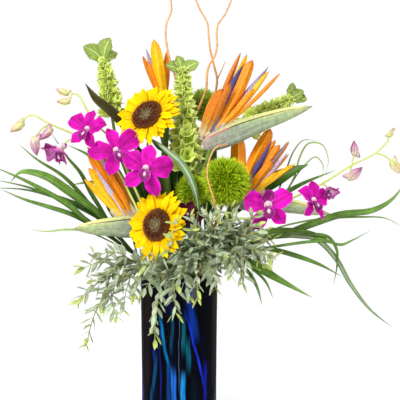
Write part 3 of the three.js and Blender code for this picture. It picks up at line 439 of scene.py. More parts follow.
@dataclass(frozen=True)
class GlassFinish:
    """Blown soda-lime glass cased in cobalt, nearly black where it is deep, with streaks of painted light
    over it.

    Polished by the flame, it gives sharp small glints. The blue, cyan and brown streaks are painted light
    coming through the glass between the stems, and the thin pale one is a painted highlight.
    """

    name: str
    deep: str
    streaks: tuple[LightStreak, ...]
    radius_mm: float = 62.5
    swirls: ClassVar[Stops] = ((0.6, "#05071A"), (0.7, "#081038"), (0.82, "#0C2260"))

    def material(self) -> bpy.types.Material:
        """Build the glass.

        Returns:
            Its material.
        """
        material, tree = new_material(self.name)
        place = add_node(tree, "TexCoord", out="Object")
        x, y, z = (add_node(tree, "SeparateXYZ", {"Vector": place}, out=axis) for axis in "XYZ")
        # The streaks of painted light are laid over a third of the way round, as seen from the front, and
        # come three times.
        ahead = add_node(tree, "Math", {0: y, 1: -1.0}, operation="MULTIPLY")
        turn = add_node(tree, "Math", {0: x, 1: ahead}, operation="ARCTAN2")
        turn = add_node(tree, "Math", {0: turn, 1: math.pi / 3, 2: -math.pi / 3}, operation="WRAP")
        turn = add_node(tree, "Math", {0: turn}, operation="SINE")
        x = add_node(tree, "Math", {0: turn, 1: self.radius_mm * MM}, operation="MULTIPLY")
        # They bend by a millimetre or two, over 50 mm or so.
        bend = add_node(tree, "TexNoise", {"Vector": place, "Scale": 18.0, "Detail": 1.0})
        bend = add_node(tree, "MapRange", {"Value": bend, **span(0.0, 1.0, -4 * MM, 4 * MM)})
        x = add_node(tree, "Math", {0: x, 1: bend}, operation="ADD")
        # Faint swirls stretch up the wall, about 14 mm from one to the next, and fine lines of 3 mm break up
        # the painted light.
        swirl, lines = (
            add_node(tree, "TexNoise", {"Vector": stretched, "Scale": 1.0, "Detail": 3.0})
            for stretched in (
                add_node(tree, "Mapping", {"Vector": place, "Scale": scale})
                for scale in ((70.0, 70.0, 9.0), (330.0, 330.0, 16.0))
            )
        )
        colour = add_node(tree, "ValToRGB", {"Fac": swirl}, stops=((0.45, self.deep), *self.swirls))
        streak_lines = add_node(tree, "MapRange", {"Value": lines, **span(0.35, 0.65, 0.35, 1.1)})
        # Lay each streak of painted light over the glass colour.
        for streak in self.streaks:
            colour = streak.lay(tree, colour, x, z, streak_lines)
        glass = {
            "Base Color": colour,
            "Roughness": 0.05,
            "IOR": 1.5,
            "Transmission Weight": 0.08,
            "Specular IOR Level": 0.3,
        }
        join_surface(tree, add_node(tree, "BsdfPrincipled", glass))
        return material


@dataclass(frozen=True)
class WaterFinish:
    """Clear tap water with a faint ripple, which only bends the light."""

    name: str = "vase_water"

    def material(self) -> bpy.types.Material:
        """Build the water.

        Returns:
            Its material.
        """
        material, tree = new_material(self.name)
        place = add_node(tree, "TexCoord", out="Object")
        ripple = add_node(tree, "TexNoise", {"Vector": place, "Scale": 60.0})
        relief = add_node(tree, "Bump", {"Height": ripple, "Distance": 0.2 * MM})
        water = {
            "Base Color": "#CFE4EE",
            "Roughness": 0.02,
            "IOR": 1.333,
            "Transmission Weight": 1.0,
            "Normal": relief,
        }
        join_surface(tree, add_node(tree, "BsdfPrincipled", water))
        return material


@dataclass(frozen=True)
class PaperFinish:
    """Matt white studio paper with a faint tooth, which shows no shine at all."""

    name: str = "studio_paper"

    def material(self) -> bpy.types.Material:
        """Build the paper.

        Returns:
            Its material.
        """
        material, tree = new_material(self.name)
        place = add_node(tree, "TexCoord", out="Object")
        tooth = add_node(tree, "TexNoise", {"Vector": place, "Scale": 300.0})
        shade = add_node(tree, "ValToRGB", {"Fac": tooth}, stops=((0.0, "#F2F2F2"), (1.0, "#FAFAFA")))
        paper = {
            "Base Color": shade,
            "Roughness": 0.9,
            "Emission Color": "#FFFFFF",
            "Emission Strength": 0.22,
        }
        join_surface(tree, add_node(tree, "BsdfPrincipled", paper))
        return material


# The line of the spathe's slit: red at the back, then dark, then dry and brown towards the beak.
SLIT_LINE = Band(
    0.03,
    (
        (0.0, "#C05058"), (0.24, "#B84C54"), (0.32, "#3E4418"), (0.5, "#5A4C20"), (0.7, "#96643A"),
        (0.9, "#B08A58"),
    ),
    0.02,
    0.9,
)


class Petal(Enum):
    """Finishes of petals and other coloured flower parts."""

    # Sepals: thin juicy tissue with a satin skin, a clear orange with a painted highlight along the fold and
    # a dry brown point.
    SEPAL = PlantFinish(
        "sepal_orange",
        ((0, "#EAD4A4"), (0.08, "#E8C078"), (0.2, "#F09A1C"), (0.45, "#F8960C"), (0.92, "#F08E0E"),
         (1, "#94541A")),
        edge="#C0640E", edge_from=0.9, midrib_and_sheen="#FFAE20", midrib_and_sheen_width=0.14, streak="#E07606", streaks=10,
        streak_share=0.7, glow=0.05, bump_mm=0.5,
    )
    # Older sepals: the same tissue drying out, a duller brownish orange on a pale foot.
    SEPAL_BROWN = PlantFinish(
        "sepal_brown_orange",
        ((0, "#E0D8B8"), (0.12, "#C8BC84"), (0.28, "#BC8A34"), (0.46, "#D07A18"), (0.9, "#CE7412"),
         (1, "#9A5214")),
        edge="#E0922C", edge_from=0.88, streak="#B8620E", streak_share=0.7, roughness=0.55, glow=0.03,
        bump_mm=0.5,
    )
    # Young sepals: golden yellow, darker at the very edge, with a painted highlight along the fold.
    SEPAL_YELLOW = PlantFinish(
        "sepal_yellow",
        ((0, "#E8E0A8"), (0.1, "#F0D468"), (0.24, "#FCC418"), (0.7, "#FFBE08"), (0.95, "#F0A40E"),
         (1, "#A86A14")),
        edge="#D88A08", edge_from=0.9, midrib_and_sheen="#FFD030", midrib_and_sheen_width=0.16, streak="#EC9C04", streaks=8,
        streak_share=0.7, glow=0.05, bump_mm=0.5,
    )
    # The small papery bracts at the foot of the crest: matt, from pink to dull green.
    SHEATH = PlantFinish(
        "floret_sheath",
        ((0, "#C08A80"), (0.25, "#CDB294"), (0.6, "#C2C488"), (1, "#A89058")),
        edge="#B0585C", edge_from=0.7, streak="#E4D4B0", roughness=0.6, glow=0.03,
    )
    # The arrow-shaped inner petals: dense violet blue with a soft painted highlight along the middle.
    TONGUE = PlantFinish(
        "tongue_violet",
        ((0, "#8A7494"), (0.25, "#564A86"), (0.6, "#45427E"), (0.9, "#3A366E"), (1, "#2A2648")),
        edge="#2C2654", edge_from=0.6, midrib_and_sheen="#6E6AA4", midrib_and_sheen_width=0.3, streak="#6A64A0", streaks=5,
        roughness=0.45,
    )
    # A fading tongue: lilac grey with dark edges.
    TONGUE_PALE = PlantFinish(
        "tongue_lilac",
        ((0, "#B8A4B4"), (0.5, "#B39EB4"), (0.9, "#8E7C96"), (1, "#44344E")),
        edge="#54425E", edge_from=0.72, streak="#D8CCDA", streaks=5, roughness=0.45,
    )
    # A bleached tongue: almost white, with mauve veins.
    TONGUE_WHITE = PlantFinish(
        "tongue_white",
        ((0, "#CFC6DA"), (0.4, "#DCD6E2"), (0.9, "#CDBCD2"), (1, "#5E4864")),
        edge="#6C5478", edge_from=0.78, streak="#A898BE", streaks=4, roughness=0.45,
    )
    # Sunflower rays: soft and quite matt, deep gold at the foot and clear yellow further out.
    RAY = PlantFinish(
        "sunflower_ray",
        ((0, "#CC8000"), (0.16, "#F4AC00"), (0.38, "#FCCA00"), (1, "#FFD800")),
        edge="#FFDC08", streak="#EEA000", streaks=7, streak_share=0.55, mottle=0.1, roughness=0.75,
        glow=0.1, bump_mm=0.8, specular=0.08,
    )
    # Dendrobium petals: velvety magenta, with a pale foot and fine dark veins.
    ORCHID = PlantFinish(
        "orchid_magenta",
        ((0, "#ECC4DE"), (0.1, "#C418A0"), (0.5, "#D60CAC"), (0.85, "#CC08A4"), (1, "#AC0688")),
        edge="#E81CC4", edge_from=0.72, midrib_and_sheen="#A00880", midrib_and_sheen_width=0.14, streak="#8C0668", streaks=12,
        streak_share=0.75, mottle=0.22, grain_mm=9, roughness=0.65, glow=0.06, bump_mm=0.9, specular=0.12,
    )
    # The same velvety tissue in burgundy, with nearly black streaks as painted shade in its folds.
    ORCHID_DARK = PlantFinish(
        "orchid_burgundy",
        ((0, "#7C2450"), (0.3, "#58052E"), (1, "#460426")),
        edge="#6A0C3C", streak="#30021A", streaks=8, roughness=0.55,
    )
    # The orchid lip: thicker and darker, with crowded veins.
    LIP = PlantFinish(
        "orchid_lip",
        ((0, "#E8C0DC"), (0.25, "#A81C90"), (0.6, "#7C0A60"), (1, "#9A1484")),
        edge="#C02CAC", streak="#5E064A", streaks=10, streak_share=0.8, glow=0.03,
    )
    # The waxy cream column in the throat, flushed pink at its end.
    THROAT = PlantFinish(
        "orchid_throat",
        ((0, "#E8D4DE"), (0.6, "#F0E8DC"), (1, "#C880B0")),
        streak="#C070B0", streaks=8, roughness=0.45,
    )
    # The back of an orchid petal: greenish cream that blushes towards the tip.
    ORCHID_PALE = PlantFinish(
        "orchid_back",
        ((0, "#D8D0B0"), (0.3, "#DCB0CC"), (0.6, "#B02C90"), (1, "#84106C")),
        edge="#9C1C84", streak="#C880BC", streaks=7, roughness=0.55, glow=0.05,
    )
    # Firm waxy buds: yellow green with a mauve tip.
    BUD = PlantFinish(
        "orchid_bud",
        ((0, "#B4C468"), (0.3, "#DCDC94"), (0.7, "#E4D8A0"), (1, "#B8849C")),
        streak="#C0849C", streaks=4, streak_share=0.45, grain_mm=6, glow=0.03,
    )
    # Riper buds: the same wax, veined and flushed with mauve.
    BUD_FLUSHED = PlantFinish(
        "orchid_bud_flushed",
        ((0, "#C4CC88"), (0.3, "#DCCCB0"), (0.65, "#D4A8B8"), (1, "#9C4C80")),
        streak="#A85C90", streaks=5, streak_share=0.7, grain_mm=6, glow=0.03,
    )


class Green(Enum):
    """Finishes of leaves, stems and woody parts."""

    # The leathery spathe under a bloom of wax: grey green, softly ribbed, with a pale margin and a red line.
    SPATHE = PlantFinish(
        "spathe_grey_green",
        ((0, "#A08488"), (0.07, "#8C867C"), (0.3, "#84907A"), (0.6, "#889A72"), (0.85, "#94A866"),
         (0.96, "#8E8C50"), (1, "#5C4430")),
        edge="#5E6452", edge_from=0.66, streak="#B6BCA4", streaks=26, streak_share=0.65, mottle=0.22,
        grain_mm=7, roughness=0.45, glow=0.02, coat=0.1, bump_mm=0.4,
        bands=(
            Band(0.2, ((0.3, "#8C9C80"), (0.6, "#A8BA7C"), (0.9, "#B8C67A")), 0.3, 0.97, 0.8),
            Band(0.06, ((0.0, "#B8A094"), (0.3, "#A8A478"), (0.5, "#BCBE76"), (0.9, "#D8D08A")), 0.02, 0.94),
            SLIT_LINE,
        ),
    )
    # The far lip of the spathe, seen over its edge: smoother and more yellow.
    SPATHE_LIP = PlantFinish(
        "spathe_far_lip",
        ((0, "#A08C84"), (0.25, "#A0A070"), (0.5, "#B4C070"), (0.85, "#D8DC88"), (1, "#8A7A4C")),
        edge="#86A060", edge_from=0.24, streak="#D8DCA0", streaks=20, streak_share=0.5, glow=0.02,
        bands=(
            Band(0.12, ((0.0, "#B8A090"), (0.4, "#C4C880"), (0.9, "#E8E49C")), 0.02, 0.95, 0.9),
            SLIT_LINE,
        ),
    )
    # Fleshy green stems: smooth, with faint lengthwise fibres and a low waxy shine.
    STALK = PlantFinish(
        "green_stalk",
        ((0, "#52702A"), (0.5, "#5E7C2E"), (1, "#688634")),
        streak="#7E9848", streaks=12, grain_mm=8, glow=0.02, coat=0.1,
    )
    # Sunflower bracts: rough hairy leaves with a light edge.
    BRACT = PlantFinish(
        "sunflower_bract",
        ((0, "#4A7222"), (0.6, "#588428"), (1, "#78A03C")),
        edge="#86AC50", streak="#3A5E1A", streaks=6, roughness=0.65, glow=0.02,
    )
    # Dianthus needles: dark at the foot, which is painted shade deep in the ball, and lime green at the tip,
    # so the ball looks deep and mossy.
    MOSS = PlantFinish(
        "dianthus_needle",
        ((0, "#2C4A04"), (0.35, "#7C9C04"), (0.75, "#BCD80C"), (1, "#E8FA34")),
        streak="#8CB008", streaks=2, mottle=0.42, grain_mm=6, roughness=0.6, glow=0.06,
    )
    # The needles of the ball at the back: a lit copy of the others, painted paler because that ball gets more
    # light.
    MOSS_LIT = PlantFinish(
        "dianthus_needle_painted_lit",
        ((0, "#648420"), (0.4, "#9CBC3A"), (0.8, "#C0DC58"), (1, "#DCF080")),
        streak="#98B83C", streaks=2, mottle=0.34, grain_mm=6, roughness=0.6, glow=0.06,
    )
    # Bells of Ireland: thin veined cups that glow yellow green, with a light rim.
    BELL = PlantFinish(
        "bell_green",
        ((0, "#7C9A24"), (0.3, "#B0C83C"), (0.75, "#D2E25C"), (1, "#ECF498")),
        edge="#F0F8AC", edge_from=0.8, streak="#8CA828", streaks=14, streak_share=0.7, mottle=0.24,
        grain_mm=9, roughness=0.55, glow=0.15,
    )
    # The small white-tipped flower in the heart of each bell.
    BELL_HEART = PlantFinish(
        "bell_heart",
        ((0, "#3E6414"), (1, "#D8E8B0")),
        mottle=0.1, roughness=0.6, glow=0.02,
    )
    # The soft leaves on top: matt and wrinkled, with pale veins.
    BELL_LEAF = PlantFinish(
        "bell_leaf",
        ((0, "#829A40"), (0.5, "#94AA4E"), (1, "#849C44")),
        edge="#5C762C", edge_from=0.85, midrib_and_sheen="#C8D690", streak="#74903C", streaks=8, streak_share=0.7,
        roughness=0.6, glow=0.06,
    )
    # Orchid stems: yellow green cane with tan scars.
    ORCHID_STEM = PlantFinish(
        "orchid_stem",
        ((0, "#6C8A30"), (0.5, "#A0B048"), (1, "#B8BC60")),
        streak="#B09858", streaks=6, grain_mm=7, glow=0.02, coat=0.1,
    )
    # Grass blades: finely ribbed and a little glossy, with a painted sheen: a light line down the middle of
    # each.
    GRASS = PlantFinish(
        "grass_blade",
        ((0, "#2A4C0E"), (0.35, "#446C1C"), (0.8, "#588228"), (1, "#7C9C3C")),
        edge="#2C5412", edge_from=0.85, midrib_and_sheen="#84A064", midrib_and_sheen_width=0.08, streak="#749648", streaks=18,
        streak_share=0.55, mottle=0.22, grain_mm=14, roughness=0.42, glow=0.02, coat=0.1, bump_mm=0.4,
        specular=0.2,
    )
    # Blades in a painted sheen: greyer than the grass, with a broad painted silver highlight along the
    # middle.
    GRASS_SHEEN = PlantFinish(
        "grass_painted_sheen",
        ((0, "#3C5C1C"), (0.4, "#54782C"), (1, "#6C8A50")),
        midrib_and_sheen="#AEBAA6", midrib_and_sheen_width=0.34, streak="#92A684", streaks=16, streak_share=0.7, mottle=0.2,
        grain_mm=14, roughness=0.38, glow=0.02, coat=0.15,
    )
    # Thin young curls of grass: yellower and more matt.
    TENDRIL = PlantFinish(
        "thin_grass_curl",
        ((0, "#4A7018"), (0.4, "#70942E"), (1, "#94B04C")),
        streak="#9CB468", streaks=4, grain_mm=10, glow=0.03, specular=0.2,
    )
    # A bronze leaf: nearly black green and brown, with a waxy shine.
    DARK_LEAF = PlantFinish(
        "bronze_leaf",
        ((0, "#2C2E12"), (0.5, "#342E12"), (1, "#4C401C")),
        edge="#5C4824", edge_from=0.8, midrib_and_sheen="#40401A", midrib_and_sheen_width=0.09, streak="#303A16", streaks=10,
        roughness=0.35, coat=0.2,
    )
    # Broad leaves: deep green and leathery, with a light midrib.
    BROAD_LEAF = PlantFinish(
        "broad_green_leaf",
        ((0, "#1A380A"), (0.5, "#305A14"), (1, "#4E7C22")),
        edge="#204410", midrib_and_sheen="#7C9A54", midrib_and_sheen_width=0.07, streak="#4C7C2C", streaks=12, streak_share=0.5,
        grain_mm=12, roughness=0.4, coat=0.08, bump_mm=0.6, specular=0.2,
    )
    # Eucalyptus leaves: matt blue green under a bloom of wax, with a pale rib.
    EUCALYPTUS = PlantFinish(
        "eucalyptus_leaf",
        ((0, "#A4AE7E"), (0.3, "#A6B490"), (1, "#9EB08A")),
        edge="#74866A", edge_from=0.84, midrib_and_sheen="#D0D6B4", midrib_and_sheen_width=0.15, streak="#BCC8AE", streaks=6,
        mottle=0.26, grain_mm=10, roughness=0.65, glow=0.02,
    )
    # Young eucalyptus tips: thinner, softer and yellow green.
    EUCALYPTUS_TIP = PlantFinish(
        "eucalyptus_tip",
        ((0, "#A0B068"), (0.6, "#B2C060"), (1, "#C8D46E")),
        edge="#889A50", midrib_and_sheen="#C4D088", midrib_and_sheen_width=0.14, mottle=0.2, grain_mm=8, roughness=0.6,
        glow=0.03,
    )
    # Eucalyptus twigs: smooth tan and olive bark.
    TWIG = PlantFinish(
        "eucalyptus_twig",
        ((0, "#7C7C40"), (0.5, "#B0A050"), (1, "#A8A054")),
        streak="#8A7840", streaks=5, roughness=0.6, glow=0.02,
    )
    # Peeled curly willow: light brown bark with lengthwise grain and a soft sheen.
    WILLOW = PlantFinish(
        "willow_bark",
        ((0, "#946030"), (0.4, "#CC8C48"), (0.8, "#E0A260"), (1, "#C4824A")),
        streak="#F0C48C", mottle=0.24, grain_mm=6, roughness=0.6, bump_mm=0.4,
    )
    # The open outer florets of the seed head: amber tips that look dusty with pollen.
    DISC_RIM = PlantFinish(
        "seed_floret_amber",
        ((0, "#220C04"), (0.6, "#7A3E12"), (1, "#DCA040")),
        mottle=0.45, grain_mm=3, roughness=0.85,
    )
    # Its middle florets: dark chocolate brown and rough.
    DISC_RING = PlantFinish(
        "seed_floret_brown",
        ((0, "#0E0402"), (0.6, "#421808"), (1, "#A05A26")),
        mottle=0.5, grain_mm=3, roughness=0.85,
    )
    # Its closed inner florets: dull olive.
    DISC_HEART = PlantFinish(
        "seed_floret_olive",
        ((0, "#2C2E12"), (0.5, "#747850"), (1, "#C4C8A4")),
        mottle=0.3, grain_mm=3, roughness=0.85,
    )


# The cobalt glass, with streaks of painted light where light comes through between the stems, and one painted
# highlight line.
VASE_GLASS = GlassFinish(
    "cobalt_glass",
    "#030409",
    (
        LightStreak(-49, -49, 8, 150, 240, "#2E1C12"),
        LightStreak(-56, -44, 6, 50, 150, "#24141A"),
        LightStreak(-44, -44, 15, 216, 240, "#12184A"),
        LightStreak(-14, -14, 14, 176, 232, "#12154A"),
        LightStreak(48, 11.5, 8.5, 128, 240, "#0A3494"),
        LightStreak(55, -4, 2.4, 40, 168, "#1434CC"),
        LightStreak(10, 6, 4, 108, 158, "#0A5C6C"),
        LightStreak(20, 10, 5, 80, 122, "#0A5470"),
        LightStreak(-0.4, -43, 3.2, 82, 160, "#0C78B4"),
        LightStreak(-12, -9, 3.2, 112, 168, "#0C5878"),
        LightStreak(-8, -12, 6.4, -20, 74, "#2268CC"),
        LightStreak(-18, -16, 4, -20, 86, "#0E3C7C"),
        LightStreak(7.8, 7.8, 5.4, -20, 66, "#1E9CEC"),
        LightStreak(-48, -19, 3.6, -20, 96, "#0C4A74"),
        LightStreak(-39, -38, 2.6, 94, 118, "#1030A0"),
        LightStreak(-30, -29, 1.6, 20, 150, "#12207A"),
        # A painted highlight: the thin pale upright line in the middle of the front.
        LightStreak(1, 1, 0.8, 50, 170, "#4A5A80"),
        LightStreak(45, 38, 3.4, -20, 82, "#1620A0"),
        LightStreak(26, 22, 7, -20, 60, "#04141C"),
    ),
)


# ---------------------------------------------------------------- modelling
def faces_on(verts: Iterable[bmesh.types.BMVert]) -> list[bmesh.types.BMFace]:
    """Collect the faces on those points that are still there."""
    return list({f for v in verts if v.is_valid for f in v.link_faces})


def stand(place: Vector, way: Vector) -> Matrix:
    """Give the matrix that stands a shape at a place, with its Z along a direction."""
    return Matrix.Translation(place) @ way.to_track_quat("Z", "Y").to_matrix().to_4x4()


def swung(direction: Vector, turn: float, axis: Vector) -> Vector:
    """Give a direction turned about an axis."""
    return Matrix.Rotation(turn, 3, axis) @ direction


def spin_round(mesh: bmesh.types.BMesh, line: list[bmesh.types.BMVert], steps: int) -> None:
    """Join points into an outline and spin it once about Z.

    Args:
        mesh: The mesh that holds the points.
        line: The points, from one end of the outline to the other.
        steps: Steps round it.
    """
    edges = [mesh.edges.new(pair) for pair in zip(line, line[1:])]
    bmesh.ops.spin(
        mesh, geom=line + edges, cent=(0, 0, 0), axis=UP, angle=math.tau, steps=steps, use_merge=True
    )


class Form:
    """A piece being modelled in millimetres. Each point knows where it lies on its own petal or leaf."""

    def __init__(self) -> None:
        """Start an empty mesh with its attributes."""
        self.mesh = bmesh.new()
        layers = self.mesh.verts.layers.float
        self.along, self.across, self.shade, self.turn = (
            layers.new(name) for name in ("along", "across", "shade", "turn")
        )
        self.finishes: list[Petal | Green] = []

    def slot(self, finish: Petal | Green) -> int:
        """Find a finish's material slot, or take the next one for it.

        Args:
            finish: The finish.

        Returns:
            The number of its slot.
        """
        if finish not in self.finishes:
            self.finishes.append(finish)
        return self.finishes.index(finish)

    def mark(self, verts: Iterable[bmesh.types.BMVert], finish: Petal | Green, shade: float) -> None:
        """Give the faces on some points their finish, and the points their lightness.

        Args:
            verts: The points.
            finish: The finish.
            shade: The lightness, 0 to 1.
        """
        index = self.slot(finish)
        for vert in verts:
            vert[self.shade] = shade
            for face in vert.link_faces:
                face.material_index = index
                face.smooth = True

    def blade(
        self,
        path: Path,
        width: Share,
        side: Vector,
        finish: Petal | Green,
        *,
        rows: int = 10,
        columns: int = 4,
        thick: float = 0.7,
        cup: float = 0.2,
        keel: float = 0.0,
        ruffle: float = 0.0,
        scallop: float = 0.0,
        twist: float = 0.0,
        shade: float = 0.5,
    ) -> None:
        """Lay a petal or leaf along a path.

        Args:
            path: Its middle line.
            width: Half width along it.
            side: Roughly which way its width lies at the foot.
            finish: Its finish.
            rows: Steps along it.
            columns: Steps across it.
            thick: Its thickness.
            cup: How far its edges rise in a bowl, as a share of the half width.
            keel: How far they rise in a fold along the middle line.
            ruffle: How far its edges wave, in millimetres.
            scallop: How far its edges are toothed, as a share of the half width.
            twist: Radians that it turns from foot to tip.
            shade: Its own lightness, 0 to 1.
        """
        across = side.copy()
        frames = []
        for k in range(rows + 1):
            t = k / rows
            heading = path.heading(t)
            across = square(across, heading)
            right = swung(across, twist * t, heading)
            frames.append((path.at(t), right, heading.cross(right), max(width(t), 0.0)))
        verts = bmesh.ops.create_grid(self.mesh, x_segments=columns, y_segments=rows, size=1)["verts"]
        for vert in verts:
            u, t = vert.co.x, (vert.co.y + 1) / 2
            k = round(t * rows)
            centre, right, face, half = frames[k]
            if scallop:
                half *= 1 - scallop * (k % 2)
            wave = ruffle * u * u * math.sin(t * 14 + u * 2 + shade * 9) * min(1, 4 * t, 4 * (1 - t))
            vert.co = centre + right * (u * half) + face * (half * (cup * u * u + keel * abs(u)) + wave)
            vert[self.along], vert[self.across] = t, u
        self.mark(verts, finish, shade)
        bmesh.ops.remove_doubles(self.mesh, verts=verts, dist=0.01)
        bmesh.ops.solidify(self.mesh, geom=faces_on(verts), thickness=thick)

    def tube(
        self,
        path: Path,
        radius: Share,
        finish: Petal | Green,
        *,
        marks: Sequence[float] = (),
        rows: int = 8,
        sides: int = 8,
        side: Vector = FRONT,
        section: Callable[[float, float], tuple[float, float]] | None = None,
        shade: float = 0.5,
        knobs: float = 0.0,
        seam: float = 0.0,
    ) -> list[bmesh.types.BMVert]:
        """Run a stem or a rounded body along a path.

        Args:
            path: Its middle line.
            radius: Radius along it.
            finish: Its finish.
            marks: Where its rings stand, or none for even rows.
            rows: Steps along it, where no marks are given.
            sides: Sides round it.
            side: Roughly which way its first side lies.
            section: Shape of the ring by angle from its top and share of the length, or round.
            shade: Its own lightness, 0 to 1.
            knobs: How far it swells now and then, as a share of its radius.
            seam: Angle from which the width attribute is measured both ways.

        Returns:
            Its points.
        """
        stations = list(marks) or [k / rows for k in range(rows + 1)]
        rows = len(stations) - 1
        across = side.copy()
        frames = []
        for t in stations:
            heading = path.heading(t)
            across = square(across, heading)
            frames.append((path.at(t), across.copy(), heading.cross(across), t))
        ring = bmesh.ops.create_circle(self.mesh, cap_ends=True, segments=sides, radius=1)["verts"]
        verts = list(ring)
        edges = list({e for v in ring for e in v.link_edges})
        for _ in range(rows):
            made = bmesh.ops.extrude_edge_only(self.mesh, edges=edges)["geom"]
            edges = [e for e in made if isinstance(e, bmesh.types.BMEdge)]
            ring = [v for v in made if isinstance(v, bmesh.types.BMVert)]
            bmesh.ops.translate(self.mesh, vec=UP, verts=ring)
            verts += ring
        bmesh.ops.contextual_create(self.mesh, geom=edges)
        for vert in verts:
            k = round(vert.co.z)
            centre, right, face, t = frames[k]
            angle = math.atan2(vert.co.x, vert.co.y)
            size = radius(t) * (1 + knobs * max(0.0, math.sin(k * 2.3 + shade * 20)))
            u, v = section(angle, t) if section else (math.sin(angle), math.cos(angle))
            vert.co = centre + right * (u * size) + face * (v * size)
            away = abs(angle - seam)
            vert[self.along], vert[self.turn] = t, angle
            vert[self.across] = min(away, math.tau - away) / math.pi
        self.mark(verts, finish, shade)
        bmesh.ops.remove_doubles(self.mesh, verts=verts, dist=0.005)
        return [v for v in verts if v.is_valid]

    def turned(
        self,
        outline: Sequence[tuple[float, float]],
        matrix: Matrix,
        finish: Petal | Green,
        *,
        steps: int = 16,
        shade: float = 0.5,
    ) -> list[bmesh.types.BMVert]:
        """Spin an outline of radius and height about Z, then put it in place.

        Args:
            outline: Radius and height from its first end to its last.
            matrix: Where it goes.
            finish: Its finish.
            steps: Steps round it.
            shade: Its own lightness, 0 to 1.

        Returns:
            Its points.
        """
        line = [self.mesh.verts.new((r, 0, z)) for r, z in outline]
        for k, vert in enumerate(line):
            vert[self.along] = k / (len(line) - 1)
        spin_round(self.mesh, line, steps)
        verts, edge = set(line), list(line)
        while edge:
            near = [o for v in edge for e in v.link_edges for o in e.verts if o not in verts]
            verts.update(near)
            edge = list(set(near))
        for vert in verts:
            vert[self.across] = abs(math.atan2(vert.co.y, vert.co.x)) / math.pi
        whole = list(verts)
        self.mark(whole, finish, shade)
        bmesh.ops.transform(self.mesh, matrix=matrix, verts=whole)
        bmesh.ops.remove_doubles(self.mesh, verts=whole, dist=0.005)
        bmesh.ops.recalc_face_normals(self.mesh, faces=faces_on(whole))
        return [v for v in whole if v.is_valid]

    def needle(
        self, foot: Vector, tip: Vector, radius: float, finish: Petal | Green, shade: float, sides: int = 3
    ) -> None:
        """Stand one fine point of few faces between two places.

        Args:
            foot: Where it starts.
            tip: Where it ends.
            radius: Its radius at the foot.
            finish: Its finish.
            shade: Its own lightness, 0 to 1.
            sides: Sides round it.
        """
        way = tip - foot
        verts = bmesh.ops.create_cone(
            self.mesh, cap_ends=True, segments=sides, radius1=radius, radius2=radius * 0.12, depth=way.length,
            matrix=stand((foot + tip) / 2, way),
        )["verts"]
        for vert in verts:
            vert[self.along] = 1.0 if (vert.co - tip).length < (vert.co - foot).length else 0.0
            vert[self.across] = 0.3
        self.mark(verts, finish, shade)

    def finish(self, name: str, slot: str, *nodes: str) -> bpy.types.Object:
        """Turn the form into a piece that stands for its nodes.

        Args:
            name: The piece's name.
            slot: The record's material slot.
            *nodes: CAD nodes that it replaces.

        Returns:
            The piece.
        """
        bmesh.ops.recalc_face_normals(self.mesh, faces=self.mesh.faces)
        bmesh.ops.scale(self.mesh, vec=(MM, MM, MM), verts=self.mesh.verts)
        data = bpy.data.meshes.new(name)
        self.mesh.to_mesh(data)
        self.mesh.free()
        data.set_sharp_from_angle(angle=math.radians(55))
        for finish in self.finishes:
            data.materials.append(finish.value.material())
        return settle(bpy.data.objects.new(name, data), slot, *nodes)


def settle(piece: bpy.types.Object, slot: str, *nodes: str) -> bpy.types.Object:
    """Link a piece, let it ride on the one body, and replace its nodes with it.

    Args:
        piece: The piece.
        slot: The record's material slot; not used.
        *nodes: CAD nodes that it replaces.

    Returns:
        The piece.
    """
    bpy.context.scene.collection.objects.link(piece)
    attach(piece, "root")
    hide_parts(*nodes)
    LOG.info("%s: %d faces", piece.name, len(piece.data.polygons))
    return piece


